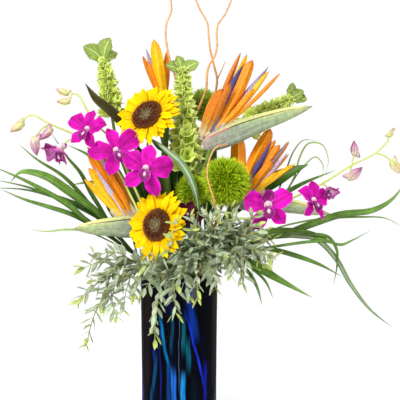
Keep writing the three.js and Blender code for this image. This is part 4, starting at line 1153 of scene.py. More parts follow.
# ---------------------------------------------------------------- the vase and the stems in it
@dataclass
class Vase:
    """A tall, slightly tapered glass cylinder.

    Its stems stand in three rings and lean round as they go down.
    """

    height: float = 229
    rim: float = 63.5
    foot: float = 61.5
    wall: float = 4
    floor: float = 9
    edge: float = 2.5
    spiral: float = 38
    squeeze: float = 0.92
    lip_z: float = 222
    cut_z: float = 20
    rings: ClassVar[dict[str, tuple[float, int]]] = {"outer": (49, 16), "middle": (32, 11), "inner": (15, 5)}

    def build(self) -> None:
        """Blow the glass and fill it."""
        form = bmesh.new()
        outline = [
            (0, 0), (self.foot - self.edge, 0), (self.foot - 0.7, 0.7), (self.foot, self.edge),
            (self.rim, self.height - 2), (self.rim - 0.5, self.height - 0.6), (self.rim - 2, self.height),
            (self.rim - 3.5, self.height - 0.6), (self.rim - self.wall, self.height - 2),
            (self.foot - self.wall, self.floor + 6), (self.foot - self.wall - 2, self.floor + 2),
            (self.foot - self.wall - 7, self.floor), (0, self.floor),
        ]
        spin_round(form, [form.verts.new((r * MM, 0, z * MM)) for r, z in outline], 96)
        bmesh.ops.remove_doubles(form, verts=form.verts, dist=0.01 * MM)
        bmesh.ops.recalc_face_normals(form, faces=form.faces)
        for face in form.faces:
            face.smooth = True
        data = bpy.data.meshes.new("vase_glass")
        form.to_mesh(data)
        form.free()
        data.set_sharp_from_angle(angle=math.radians(50))
        data.materials.append(VASE_GLASS.material())
        settle(bpy.data.objects.new("vase_glass", data), "vase_glass", "vase")
        water = bpy.data.objects["water"]
        water.data.materials.clear()
        water.data.materials.append(WaterFinish().material())

    def inside(self, seat: tuple[str, float], z: float) -> Vector:
        """Find where a stem stands inside the vase.

        Args:
            seat: Its ring in the mouth and its place round the ring.
            z: The height.

        Returns:
            The middle of the stem.
        """
        radius, count = self.rings[seat[0]]
        turn = math.tau * seat[1] / count
        mouth = Vector((math.cos(turn), math.sin(turn), 0)) * radius
        foot = swung(mouth, math.radians(self.spiral), UP)
        place = mouth.lerp(foot * self.squeeze, (self.height - z) / self.height)
        return Vector((place.x, place.y, z))

    def stem(self, seat: tuple[str, float], way: Sequence[Point], fine: int = 4) -> tuple[Path, list[float]]:
        """Lead a stem from its cut end through the mouth.

        Args:
            seat: Its ring in the mouth and its place round the ring.
            way: The points it passes after the mouth.
            fine: Steps from each point to the next.

        Returns:
            Its path, and where its rings stand.
        """
        path = Path([self.inside(seat, self.cut_z), self.inside(seat, self.lip_z), *way])
        steps = path.spans * fine
        return path, [0.0, 1 / path.spans, *[k / steps for k in range(fine + 1, steps + 1)]]


VASE = Vase()


# ---------------------------------------------------------------- bird of paradise
@dataclass
class Floret:
    """A sepal or tongue: where it leaves the boat, its tip and its half width."""

    root: float
    tip: Point
    width: float
    finish: Petal = Petal.SEPAL
    blunt: float = 0.5
    bow: float = 0.03
    sway: float = 0.0


@dataclass
class BirdOfParadise:
    """One flower: a boat-shaped spathe on its stem, with a crest of sepals and tongues."""

    name: str
    seat: tuple[str, float]
    way: list[Point]
    neck: Point
    back: Point
    tip: Point
    bow: float
    height: float
    sepals: list[Floret]
    tongues: list[Floret]
    half_width: ClassVar[float] = 9.5
    socket: ClassVar[float] = 7
    slit_turn: ClassVar[float] = 0.84
    lip_turn: ClassVar[float] = 0.95
    sheaths: ClassVar[int] = 7
    boat_shape: ClassVar[tuple[float, ...]] = (
        0.4, 0.8, 0.92, 0.98, 1.0, 0.97, 0.9, 0.83, 0.77, 0.71, 0.64, 0.55, 0.42, 0.25, 0.0,
    )
    tongue_shape: ClassVar[tuple[float, ...]] = (0.34, 0.4, 0.44, 0.46, 0.5, 1.0, 0.86, 0.68, 0.5, 0.3, 0.0)
    core_shape: ClassVar[tuple[float, ...]] = (0.3, 0.3, 0.28, 0.2, 0.05)

    def keel(self) -> Path:
        """Draw the boat's own line from its back end to its beak."""
        a, b = Vector(self.back), Vector(self.tip)
        return Path([a, a.lerp(b, 0.5) + square(UP, (b - a).normalized()) * self.bow, b])

    def edge(self, along: float, lift: float = 0.95) -> Vector:
        """Find a point on the boat's upper edge.

        Args:
            along: How far it lies from the back end.
            lift: How high it lies, as a share of the boat's height.

        Returns:
            The point.
        """
        line = self.keel()
        t = line.by_length(along / line.length())
        return line.at(t) + square(UP, line.heading(t)) * self.height * lift

    def line(self, floret: Floret) -> Path:
        """Draw a sepal's or tongue's middle line.

        Args:
            floret: The sepal or tongue.

        Returns:
            Its line, from inside the boat to its tip.
        """
        start, end = self.edge(floret.root), Vector(floret.tip)
        lean = end - start
        outward = square(FRONT, lean.normalized())
        start = start - lean.normalized() * self.socket
        middle = start.lerp(end, 0.5) + outward * floret.bow * lean.length + RIGHT * floret.sway
        return Path([start, middle, end])

    def shape(self, values: Sequence[float], scale: float) -> Share:
        """Read a half width off a list of shares.

        Args:
            values: The shares, evenly spaced from the foot to the tip.
            scale: What they are shares of.

        Returns:
            Half width by share of the length.
        """

        def half(t: float) -> float:
            """Read between the two nearest shares."""
            place = t * (len(values) - 1)
            k = min(int(place), len(values) - 2)
            return scale * mix(values[k], values[k + 1], place - k)

        return half

    def build(self) -> None:
        """Model the tongues, the crest and the boat, each as a piece."""
        draw = random.Random(self.name)
        for k, floret in enumerate(self.tongues, 1):
            form = Form()
            path = self.line(floret)
            form.blade(
                path, self.shape(self.tongue_shape, floret.width), RIGHT, floret.finish, rows=20, columns=6,
                thick=1.6, cup=0.55, shade=draw.random(),
            )
            form.tube(path, self.shape(self.core_shape, floret.width), floret.finish, rows=8, sides=6)
            form.finish(f"{self.name}_tongue_{k}_flesh", "tongue", f"{self.name}_tongue_{k}")
        self.build_crest(draw)
        self.build_boat()

    def build_crest(self, draw: random.Random) -> None:
        """Model the folded sepals and the papery sheaths at their feet.

        Args:
            draw: The flower's own draws.
        """
        form = Form()
        for floret in self.sepals:
            path = self.line(floret)
            width = strap(floret.width, 0.5, 0.6, floret.blunt)
            form.blade(
                path, width, square(RIGHT, path.heading(0)), floret.finish, rows=22, columns=8, thick=1.0,
                cup=0.05, keel=0.62, ruffle=0.5, shade=draw.random(), twist=draw.uniform(-0.3, 0.3),
            )
        roots = [floret.root for floret in self.sepals]
        first, last = min(roots) - 6, max(roots) + 9
        for k in range(self.sheaths):
            along = mix(first, last, (k + 0.5) / self.sheaths)
            foot, end = self.edge(along - 5, 0.7), self.edge(along + 4, 0.95)
            up = self.edge(along, 2.0) - self.edge(along, 0.9)
            tip = end + up * mix(0.9, 0.5, k / (self.sheaths - 1)) + (end - foot) * 0.35
            form.blade(
                Path([foot, end + up * 0.35, tip]), lance(5.6, 0.8, 0.4, 1), RIGHT, Petal.SHEATH, rows=6,
                columns=4, thick=0.8, cup=0.9, shade=draw.random(),
            )
        form.finish(f"{self.name}_crest", "sepal", f"{self.name}_sepals")

    def build_boat(self) -> None:
        """Model the spathe with its slit and its two lips, and the stem."""
        form = Form()
        keel = self.keel()
        ratio = self.half_width / self.height
        heading = keel.heading(0.5)
        front = -1 if heading.x > 0 else 1

        def section(angle: float, t: float) -> tuple[float, float]:
            """Shape the boat round its line, with a groove at the slit and a swelling beside it.

            Args:
                angle: Angle from its top.
                t: Share of its length.

            Returns:
                Width and height, as shares of its own.
            """
            open_share = min(1, max(0, 8 * t - 0.4)) * min(1, 7 * (1 - t))
            off = angle * front - self.slit_turn
            groove = 0.2 * math.exp(-((off / 0.11) ** 2)) * open_share
            lip = 0.05 * math.exp(-(((off - 0.3) / 0.16) ** 2)) * open_share
            size = 1 - groove + lip
            wide = 0.66 + 0.34 * math.sin(abs(angle) / 2) ** 0.8
            return math.sin(angle) * ratio * wide * size, math.cos(angle) * size

        verts = form.tube(
            keel, self.shape(self.boat_shape, self.height), Green.SPATHE, rows=46, sides=56, section=section,
            side=UP.cross(heading), seam=self.slit_turn * front,
        )
        lip_slot = form.slot(Green.SPATHE_LIP)
        for face in faces_on(verts):
            turn = sum(v[form.turn] for v in face.verts) / len(face.verts)
            if 0 < self.slit_turn - turn * front < self.lip_turn:
                face.material_index = lip_slot
        path, marks = VASE.stem(self.seat, [*self.way, self.neck], 6)
        form.tube(path, taper(5.8, 5.2), Green.STALK, marks=marks, sides=14)
        form.finish(f"{self.name}_boat", "spathe", f"{self.name}_spathe_stem")


BROWN, YELLOW = Petal.SEPAL_BROWN, Petal.SEPAL_YELLOW
BIRDS = [
    BirdOfParadise(
        "bird_right_high", ("inner", 0), [(24, -22, 300), (34, -40, 375)], (56, -50, 446), (39, -50, 438),
        (217, -42, 503), 4, 18,
        [
            Floret(9, (72, -68, 530), 13, BROWN, 0.6),
            Floret(18, (84, -74, 539), 5.5, BROWN, 0.8),
            Floret(20, (101, -32, 590), 5, BROWN, 0.4, 0.03, -2),
            Floret(27, (111, -36, 587), 6, YELLOW, 0.5),
            Floret(32, (119, -60, 576), 9, Petal.SEPAL, 1.0, 0.03, 5),
            Floret(44, (146, -50, 559), 4.6, YELLOW, 0.7, 0.03, 3),
            Floret(51, (164, -56, 556), 3.4, Petal.SEPAL, 0.4, 0.06, 3),
            Floret(38, (122, -62, 530), 5.2, Petal.SEPAL, 0.8, 0.05, 3),
        ],
        [
            Floret(25, (105, -52, 571), 7.5, Petal.TONGUE, 0.5, 0.03, -4),
            Floret(40, (145, -44, 566), 8, Petal.TONGUE_PALE, 0.5, 0.03, 2),
        ],
    ),
    BirdOfParadise(
        "bird_right_low", ("middle", 10), [(52, -20, 275), (78, -20, 322)], (98, -20, 350), (88, -21, 348),
        (250, -8, 326), 5, 15.5,
        [
            Floret(9, (97, -16, 456), 12.5, Petal.SEPAL, 0.9),
            Floret(15, (150, -24, 467), 11, Petal.SEPAL, 0.9, 0.03, -4),
            Floret(19, (158, -28, 449), 4.6, Petal.SEPAL, 0.8),
            Floret(23, (165, -32, 440), 8, Petal.SEPAL, 0.9),
            Floret(29, (181, -20, 446), 4.0, Petal.SEPAL, 0.6),
            Floret(33, (179, -38, 425), 3.4, Petal.SEPAL, 0.6),
            Floret(38, (189, -40, 409), 5, YELLOW, 0.5, 0.03, -3),
            Floret(24, (152, -46, 414), 7.5, Petal.SEPAL, 0.8, 0.06),
            Floret(34, (160, -48, 396), 4.5, YELLOW, 0.6, 0.05),
        ],
        [
            Floret(17, (152, -34, 447), 5.6, Petal.TONGUE, 0.5, 0.05),
            Floret(26, (178, -24, 446), 5.4, Petal.TONGUE_PALE),
            Floret(31, (176, -42, 427), 5.6, Petal.TONGUE_WHITE, 0.5, 0.05),
        ],
    ),
    BirdOfParadise(
        "bird_left", ("middle", 6), [(-38, -34, 262)], (-58, -52, 303), (-44, -54, 311), (-168, -60, 306),
        0, 19,
        [
            Floret(28, (-104, -50, 401), 5.6, BROWN, 0.6),
            Floret(31, (-131, -42, 442), 5.5, Petal.SEPAL, 0.6),
            Floret(36, (-147, -50, 437), 7.5, Petal.SEPAL, 0.8),
            Floret(40, (-146, -50, 425), 6.5, Petal.SEPAL, 0.8),
            Floret(45, (-144, -66, 403), 8, YELLOW, 0.8, 0.03, -3),
            Floret(51, (-152, -56, 385), 5.6, YELLOW, 0.5),
            Floret(34, (-118, -64, 402), 6, Petal.SEPAL, 0.7, 0.05, 3),
            Floret(38, (-128, -76, 392), 4.2, Petal.SEPAL, 0.6, 0.06),
        ],
        [
            Floret(33, (-139, -58, 448), 5.0, Petal.TONGUE_PALE),
            Floret(42, (-135, -80, 408), 4.6, Petal.TONGUE_WHITE, 0.5, 0.05),
        ],
    ),
    BirdOfParadise(
        "bird_top", ("inner", 2), [(-19, 16, 300), (-25, 18, 400)], (-20, 0, 482), (-20, -12, 482),
        (-58, 128, 500), 6, 14,
        [
            Floret(14, (-60, 4, 587), 4.6, BROWN, 0.6),
            Floret(19, (-41, -6, 613), 10, YELLOW, 0.7),
            Floret(27, (-20, 26, 597), 6.5, Petal.SEPAL, 0.6),
            Floret(34, (-46, 52, 591), 6.5, Petal.SEPAL, 0.6),
            Floret(16, (-52, -2, 578), 4, Petal.SEPAL, 0.6),
        ],
        [Floret(23, (-54, 4, 598), 7, Petal.TONGUE_PALE)],
    ),
]


# ---------------------------------------------------------------- flower faces
class Face:
    """The plane of a flower: points on it are measured outwards by angle, and up from it."""

    def __init__(self, centre: Point, facing: Point) -> None:
        """Set the plane up.

        Args:
            centre: The middle of the flower.
            facing: The way it looks.
        """
        self.centre = Vector(centre)
        self.out = Vector(facing).normalized()
        self.right = UP.cross(self.out).normalized()
        self.rise = self.out.cross(self.right)

    def spoke(self, turn: float) -> Vector:
        """Give the direction at an angle round the face from its right."""
        return self.right * math.cos(turn) + self.rise * math.sin(turn)

    def spot(self, outward: Vector, along: float, up: float) -> Vector:
        """Give the point so far along a direction and so far up."""
        return self.centre + outward * along + self.out * up

    def matrix(self, up: float = 0) -> Matrix:
        """Give the matrix that stands a turned shape on the face."""
        turn = Matrix((self.right, self.rise, self.out)).transposed().to_4x4()
        return Matrix.Translation(self.centre + self.out * up) @ turn


@dataclass
class Sunflower:
    """An open sunflower with its green cup and stem."""

    name: str
    centre: Point
    facing: Point
    radius: float
    seat: tuple[str, float]
    way: list[Point]
    disc: ClassVar[float] = 26
    dome: ClassVar[float] = 8.5
    plate: ClassVar[float] = 5
    cup: ClassVar[float] = 13
    rays: ClassVar[int] = 45
    bracts: ClassVar[int] = 22
    florets: ClassVar[int] = 520
    crown: ClassVar[float] = 0.55
    dome_shape: ClassVar[tuple[tuple[float, float], ...]] = (
        (0.97, 0.4), (0.78, 0.72), (0.5, 0.82), (0.24, 0.66), (0, 0.55),
    )

    def build(self) -> None:
        """Model the seed head, the rays and the green parts, each as a piece."""
        draw = random.Random(self.radius)
        face = Face(self.centre, self.facing)
        self.build_disc(face, draw)
        self.build_rays(face, draw)
        self.build_green(face, draw)

    def build_disc(self, face: Face, draw: random.Random) -> None:
        """Stand the florets on a low dome, in a spiral, with open ones outside and closed ones inside.

        Args:
            face: The plane of the flower.
            draw: The flower's own draws.
        """
        form = Form()
        outline = [(self.disc * r, self.dome * z) for r, z in self.dome_shape]
        form.turned([(0, 0.2), (self.disc * 0.94, 0.2), *outline], face.matrix(), Green.DISC_RING, steps=32)
        for k in range(self.florets):
            share = math.sqrt((k + 0.5) / self.florets)
            outward = face.spoke(k * GOLDEN_TURN)
            inner, outer = min(1, share / self.crown), max(0, share - self.crown) / (1 - self.crown)
            height = self.dome * (0.55 + 0.27 * math.sin(inner * math.pi / 2) - 0.45 * outer)
            lean = outward * (0.5 * share - 0.1)
            reach = mix(2.0, 3.6, share) * (0.8 + 0.4 * draw.random())
            foot = face.spot(outward, self.disc * share, height - 0.8)
            blur = share + draw.uniform(-0.04, 0.04)
            kinds = (Green.DISC_HEART, Green.DISC_RING, Green.DISC_RIM, Green.DISC_RIM)
            rank = (blur >= 0.42) + (blur >= 0.8)
            early = draw.random() < 0.28 and blur > 0.24
            tip = foot + (face.out + lean) * reach
            form.needle(foot, tip, mix(1.2, 1.25, share), kinds[rank + early], draw.random(), 5)
        form.finish(f"{self.name}_seed_head", "seed_disc", f"{self.name}_disc")

    def build_rays(self, face: Face, draw: random.Random) -> None:
        """Lay the rays in three ranks on a plate behind the seed head.

        Args:
            face: The plane of the flower.
            draw: The flower's own draws.
        """
        form = Form()
        form.turned(
            [(0, -self.plate), (self.disc * 0.88, -self.plate), (self.disc * 0.9, -0.6), (0, -0.6)],
            face.matrix(), Petal.RAY, steps=24,
        )
        for k in range(self.rays):
            rank = k % 3
            outward = face.spoke(math.tau * (k + 0.5 * draw.random()) / self.rays)
            reach = self.radius * (0.88 + 0.14 * draw.random()) * (1, 0.97, 0.88)[rank]
            lift = 0.16 * (reach - self.disc) * (0.4, 0.9, 1.5)[rank]
            aside = face.out.cross(outward)
            drift = aside * draw.uniform(-3, 3)
            path = Path([
                face.spot(outward, self.disc * 0.8, -3.6 + 1.2 * rank),
                face.spot(outward, mix(self.disc, reach, 0.45), lift * 0.7 - 3 + 1.6 * rank) + drift * 0.4,
                face.spot(outward, reach, lift - 2.4 + rank * 0.8 - draw.uniform(0, 4)) + drift,
            ])
            form.blade(
                path, lance(draw.uniform(5.6, 7.6), 0.45, 0.48, 0.8), aside, Petal.RAY, rows=9, thick=0.5,
                cup=draw.uniform(0.1, 0.5), ruffle=0.6, twist=draw.uniform(-0.4, 0.4), shade=draw.random(),
            )
        form.finish(f"{self.name}_petals", "ray_petal", f"{self.name}_rays")

    def build_green(self, face: Face, draw: random.Random) -> None:
        """Model the cup, its bracts and the stem.

        Args:
            face: The plane of the flower.
            draw: The flower's own draws.
        """
        form = Form()
        form.turned(
            [(0, -self.cup), (4.8, -self.cup), (self.disc * 0.5, -self.cup * 0.5), (self.disc * 0.84, 0),
             (0, 0)],
            face.matrix(-self.plate - 1), Green.BRACT, steps=20,
        )
        for k in range(self.bracts):
            outward = face.spoke(math.tau * (k + 0.4 * draw.random()) / self.bracts)
            low = -self.plate - k % 2 * 2.5
            path = Path([
                face.spot(outward, self.disc * 0.45, low - 6),
                face.spot(outward, self.disc * 0.95, low - 4),
                face.spot(outward, self.disc * draw.uniform(1.35, 1.6), low - 1.5),
            ])
            form.blade(
                path, lance(6, 0.8, 0.3, 0.7), face.out.cross(outward), Green.BRACT, rows=6, thick=0.6,
                cup=0.25, shade=draw.random(),
            )
        behind = [face.spot(face.out, 0, -depth) for depth in (4 * self.cup, self.plate + self.cup * 0.7)]
        path, marks = VASE.stem(self.seat, [*self.way, *behind], 5)
        form.tube(path, taper(4.6, 4.6), Green.STALK, marks=marks, sides=12)
        form.finish(f"{self.name}_green", "stalk", f"{self.name}_stem")


SUNFLOWERS = [
    Sunflower("sunflower_high", (-49, -64, 487), (-0.42, -0.74, 0.52), 61, ("inner", 3), [(-14, -20, 300)]),
    Sunflower("sunflower_low", (-32, -104, 314), (-0.56, -0.79, 0.2), 60, ("middle", 8), [(-2, -46, 262)]),
]


# ---------------------------------------------------------------- orchids
@dataclass
class OrchidBloom:
    """A dendrobium bloom: three sepals, two broad petals, a lip and its column."""

    name: str
    centre: Point
    facing: Point
    size: float
    roll: float = 0
    openness: float = 1
    petal: Petal = Petal.ORCHID
    hood: bool = False
    mate: "OrchidBloom | None" = None
    tepals: ClassVar[tuple[tuple[float, float, float], ...]] = (
        (0, 0.97, 0.27), (142, 0.95, 0.28), (-142, 0.95, 0.28), (68, 1, 0.4), (-68, 1, 0.4),
    )

    def spoke(self, face: Face, turn: float) -> Vector:
        """Give the direction at an angle round the bloom from its top."""
        angle = math.radians(turn + self.roll)
        return face.rise * math.cos(angle) + face.right * math.sin(angle)

    def model(self, form: Form) -> None:
        """Model the bloom, and its mate, into a form.

        Args:
            form: The form of their piece.
        """
        draw = random.Random(self.name)
        face, size = Face(self.centre, self.facing), self.size
        self.model_tepals(form, face, draw)
        down = self.spoke(face, 180)
        aside = face.out.cross(down)

        def line(*places: Point) -> Path:
            """Draw a line by shares of the size, each so far down, out and aside."""
            return Path([face.spot(down, a * size, b * size) + aside * c * size for a, b, c in places])

        dark = Petal.ORCHID_DARK if self.petal is Petal.ORCHID_DARK else Petal.LIP
        form.blade(
            line((0.02, 0.04, 0), (0.18, 0.3, 0), (0.34, 0.36, 0), (0.5, 0.3, 0)),
            lance(size * 0.24, 0.35, 0.6, 1.2), aside, dark, rows=12, columns=8, thick=0.8, cup=0.35,
            ruffle=0.04 * size, shade=draw.random(),
        )
        for way in (-1, 1):
            form.blade(
                line((0.06, 0.04, 0), (0.1, 0.18, 0.13 * way), (0.12, 0.32, 0.1 * way)),
                lance(size * 0.1, 0.6, 0.5, 1.2), face.out, dark, rows=6, cup=0.5, shade=draw.random(),
            )
        swell = 1.3 if self.hood else 1.0
        column = line((-0.02, -0.1, 0), (-0.05, 0.1, 0), (0.03, 0.27, 0))
        form.tube(column, lance(size * 0.12 * swell, 0.8, 0.45, 1.2), Petal.THROAT, rows=8, sides=10)
        pad = line((0.14, 0.27, 0), (0.22, 0.355, 0), (0.32, 0.395, 0))
        form.tube(pad, lance(size * 0.055 * swell, 0.5, 0.5, 1), Petal.THROAT, rows=5, sides=8)
        chin = line((0, -0.02, 0), (0.1, -0.16, 0), (0.06, -0.3, 0))
        form.tube(chin, lance(size * 0.13, 0.9, 0.4, 1), Petal.ORCHID_PALE, rows=6, sides=8)
        if self.mate:
            self.mate.model(form)

    def model_tepals(self, form: Form, face: Face, draw: random.Random) -> None:
        """Model the three sepals and two petals, or four and a dark hood over the throat.

        Args:
            form: The form of their piece.
            face: The plane of the bloom.
            draw: The bloom's own draws.
        """
        fold, size = 1 - self.openness, self.size
        for k, (turn, length, width) in enumerate(self.tepals):
            outward = self.spoke(face, turn)
            droop = draw.uniform(-0.2, 0.16)
            length *= draw.uniform(0.92, 1.1)
            petal = self.petal
            if self.hood and k == 0:
                length, width, droop, petal = 0.6, 0.3, 0.3, Petal.LIP
            path = Path([
                face.spot(outward, 0.04 * size, 0),
                face.spot(outward, (0.55 - 0.3 * fold) * length * size, (0.08 + 0.35 * fold) * size),
                face.spot(outward, (1 - 0.65 * fold) * length * size, (0.02 + 0.85 * fold + droop) * size),
            ])
            form.blade(
                path, lance(size * width, 0.24, 0.6, 0.9), face.out.cross(outward), petal, rows=14, columns=8,
                thick=0.6, cup=draw.uniform(0.0, 0.55) + 0.5 * fold, twist=draw.uniform(-0.7, 0.7),
                ruffle=0.05 * size if k > 2 else 0.03 * size, shade=draw.random(),
            )


@dataclass
class Bud:
    """A closed bud: its middle, the way it points and its length."""

    centre: Point
    points: Point
    size: float
    finish: Petal = Petal.BUD
    seams: ClassVar[tuple[float, ...]] = (0.4, 2.5, 4.6)

    def model(self, form: Form, shade: float) -> Vector:
        """Model the bud with its chin and its three folded sepals into a form.

        Args:
            form: The form of its spray.
            shade: Its own lightness.

        Returns:
            Where its stalk meets it.
        """
        middle, along = Vector(self.centre), Vector(self.points).normalized()
        chin = square(UP, along) * 0.7 - along * 0.7

        def line(way: Vector, *places: tuple[float, float]) -> Path:
            """Draw a line by shares of the length, each so far along the bud and along a way."""
            return Path([middle + along * a * self.size + way * b * self.size for a, b in places])

        body = line(chin, (-0.45, 0), (0.1, 0.05), (0.75, 0))
        form.tube(body, lance(self.size * 0.27, 0.45, 0.36, 0.8), self.finish, rows=12, sides=12,
                  shade=shade + 0.1)
        spur = line(chin, (0.1, 0), (-0.1, 0.35), (-0.12, 0.62))
        form.tube(spur, lance(self.size * 0.19, 0.9, 0.4, 1), self.finish, rows=6, sides=10, shade=shade)
        for turn in self.seams:
            out = swung(square(FRONT, along), turn, along)
            form.blade(
                line(out, (-0.4, 0.12), (0.1, 0.25), (0.78, 0.02)), lance(self.size * 0.19, 0.4, 0.45, 0.8),
                along.cross(out), self.finish, rows=8, thick=0.5, cup=-0.35, shade=turn / 5,
            )
        return middle - along * 0.35 * self.size


@dataclass
class OrchidSpray:
    """An orchid stem with a stalk to each bloom and bud."""

    name: str
    seat: tuple[str, float]
    way: list[Point]
    blooms: list[OrchidBloom]
    buds: list[Bud]

    def build(self) -> None:
        """Model the blooms as pieces of their own, then the stem and buds."""
        for bloom in self.blooms:
            form = Form()
            bloom.model(form)
            form.finish(f"{bloom.name}_petals", "orchid_petal", bloom.name)
        form = Form()
        path, marks = VASE.stem(self.seat, self.way, 4)
        form.tube(path, taper(2.3, 1.2), Green.ORCHID_STEM, marks=marks, sides=8, knobs=0.12)
        joints = [Vector(p) for p in self.way[1:-1]] + [path.at(0.99)]
        for bloom in (one for first in self.blooms for one in (first, first.mate) if one):
            self.stalk(form, joints, Vector(bloom.centre) - Vector(bloom.facing).normalized() * 4)
        for k, bud in enumerate(self.buds):
            self.stalk(form, joints, bud.model(form, k * 0.2))
        form.finish(f"{self.name}_stem_and_buds", "orchid_stem", self.name)

    def stalk(self, form: Form, joints: list[Vector], end: Vector) -> None:
        """Run a stalk out from the nearest joint of the stem.

        Args:
            form: The form of the spray.
            joints: Where a stalk can leave the stem.
            end: The back of the bloom or bud.
        """
        start = min(joints, key=lambda joint: (joint - end).length)
        line = Path([start, start.lerp(end, 0.5) + UP * 3, end])
        form.tube(line, taper(1.3, 1.1), Green.ORCHID_STEM, rows=8, sides=6)


SPRAYS = [
    OrchidSpray(
        "orchid_left_long", ("outer", 10.6),
        [
            (-40, -68, 275), (-56, -80, 318), (-76, -80, 360), (-95, -76, 397), (-125, -70, 432),
            (-157, -66, 453), (-206, -62, 474), (-233, -60, 488), (-244, -61, 485),
        ],
        [
            OrchidBloom("orchid_bloom_left_outer", (-143, -88, 464), (-0.35, -0.9, 0.15), 36, 12),
            OrchidBloom(
                "orchid_bloom_left_cup", (-187, -78, 437), (-0.5, -0.45, -0.72), 40, 0, 0.5,
                Petal.ORCHID_PALE,
            ),
        ],
        [
            Bud((-255, -62, 470), (-0.85, 0, -0.5), 22),
            Bud((-208, -68, 460), (-0.7, -0.1, -0.65), 22, Petal.BUD_FLUSHED),
            Bud((-229, -66, 443), (0.12, 0, -1), 26, Petal.BUD_FLUSHED),
        ],
    ),
    OrchidSpray(
        "orchid_left_short", ("outer", 11.3),
        [
            (-34, -70, 290), (-54, -76, 336), (-74, -86, 384), (-104, -76, 446), (-134, -70, 477),
            (-149, -64, 502), (-160, -60, 520), (-170, -60, 523),
        ],
        [
            OrchidBloom("orchid_bloom_left_middle", (-97, -98, 430), (0.15, -0.95, 0.2), 42, -20),
            OrchidBloom("orchid_bloom_left_inner", (-51, -112, 402), (0.1, -0.97, 0.15), 44, 14),
        ],
        [Bud((-183, -60, 524), (-0.9, 0, 0.4), 18), Bud((-181, -64, 509), (-1, 0, 0.05), 18)],
    ),
    OrchidSpray(
        "orchid_right", ("outer", 14),
        [
            (74, -72, 292), (112, -84, 318), (170, -80, 350), (226, -76, 377), (277, -72, 408),
            (315, -68, 427), (337, -65, 448),
        ],
        [
            OrchidBloom(
                "orchid_bloom_right_open", (142, -108, 344), (-0.05, -0.97, 0.15), 43, -6, 1, Petal.ORCHID,
                True,
            ),
            OrchidBloom(
                "orchid_bloom_right_side", (212, -94, 352), (0.7, -0.7, 0.1), 36, 8,
                mate=OrchidBloom(
                    "orchid_bloom_right_last", (240, -80, 369), (0.35, -0.7, -0.6), 23, 40, 0.55,
                    Petal.ORCHID_PALE,
                ),
            ),
        ],
        [
            Bud((340, -64, 458), (0.5, 0, 0.85), 15),
            Bud((281, -70, 431), (-0.05, 0, 1), 21, Petal.BUD_FLUSHED),
            Bud((279, -74, 392), (0.6, -0.1, 0.55), 25, Petal.BUD_FLUSHED),
            Bud((346, -68, 408), (0.6, 0, -0.75), 23),
        ],
    ),
]


@dataclass
class DarkBloom:
    """The small burgundy bloom low in the middle, as a piece of its own."""

    bloom: OrchidBloom

    def build(self) -> None:
        """Model the bloom."""
        form = Form()
        self.bloom.model(form)
        form.finish(f"{self.bloom.name}_petals", "dark_orchid_petal", self.bloom.name)


DARK_BLOOM = DarkBloom(
    OrchidBloom("orchid_bloom_centre_dark", (14, -92, 329), (0.1, -0.95, 0.1), 27, 20, 1, Petal.ORCHID_DARK)
)


# ---------------------------------------------------------------- dianthus
@dataclass
class Dianthus:
    """A mossy ball of fine green needles on a thin stem."""

    name: str
    seat: tuple[str, float]
    way: list[Point]
    centre: Point
    radius: float
    needles: int
    finish: Green = Green.MOSS
    core: ClassVar[float] = 0.66

    def build(self) -> None:
        """Stand the needles on a small core, dark with painted shade."""
        draw = random.Random(self.name)
        form = Form()
        centre = Vector(self.centre)
        core = bmesh.ops.create_icosphere(
            form.mesh, subdivisions=2, radius=self.radius * self.core, matrix=Matrix.Translation(centre)
        )["verts"]
        # The core takes the needles' darkest foot colour: painted shade inside the ball.
        form.mark(core, self.finish, 0.1)
        for k in range(self.needles):
            z = 1 - 2 * (k + 0.5) / self.needles
            turn = k * GOLDEN_TURN
            flat = math.sqrt(1 - z * z)
            out = Vector((flat * math.cos(turn), flat * math.sin(turn), z))
            aim = (out + Vector([draw.uniform(-0.55, 0.55) for _ in range(3)])).normalized()
            foot = centre + out * self.radius * draw.uniform(0.56, 0.72)
            tip = foot + aim * self.radius * draw.uniform(0.26, 0.44)
            form.needle(foot, tip, draw.uniform(0.75, 1.35), self.finish, draw.random())
        path, marks = VASE.stem(self.seat, [*self.way, centre - UP * self.radius * 0.5], 5)
        form.tube(path, taper(2.1, 2.1), Green.STALK, marks=marks, sides=8)
        form.finish(f"{self.name}_needles", "dianthus", self.name)


DIANTHUS = [
    Dianthus("dianthus_right", ("middle", 9), [(52, -52, 290)], (75, -72, 381), 40.5, 3800),
    Dianthus("dianthus_middle", ("inner", 4), [(16, -40, 280)], (22, -70, 367), 27, 2200),
    Dianthus(
        "dianthus_back", ("middle", 1), [(34, 10, 300), (42, 8, 420)], (41, 8, 506), 27.5, 2300,
        # The ball at the back takes the needles painted lit.
        Green.MOSS_LIT,
    ),
]


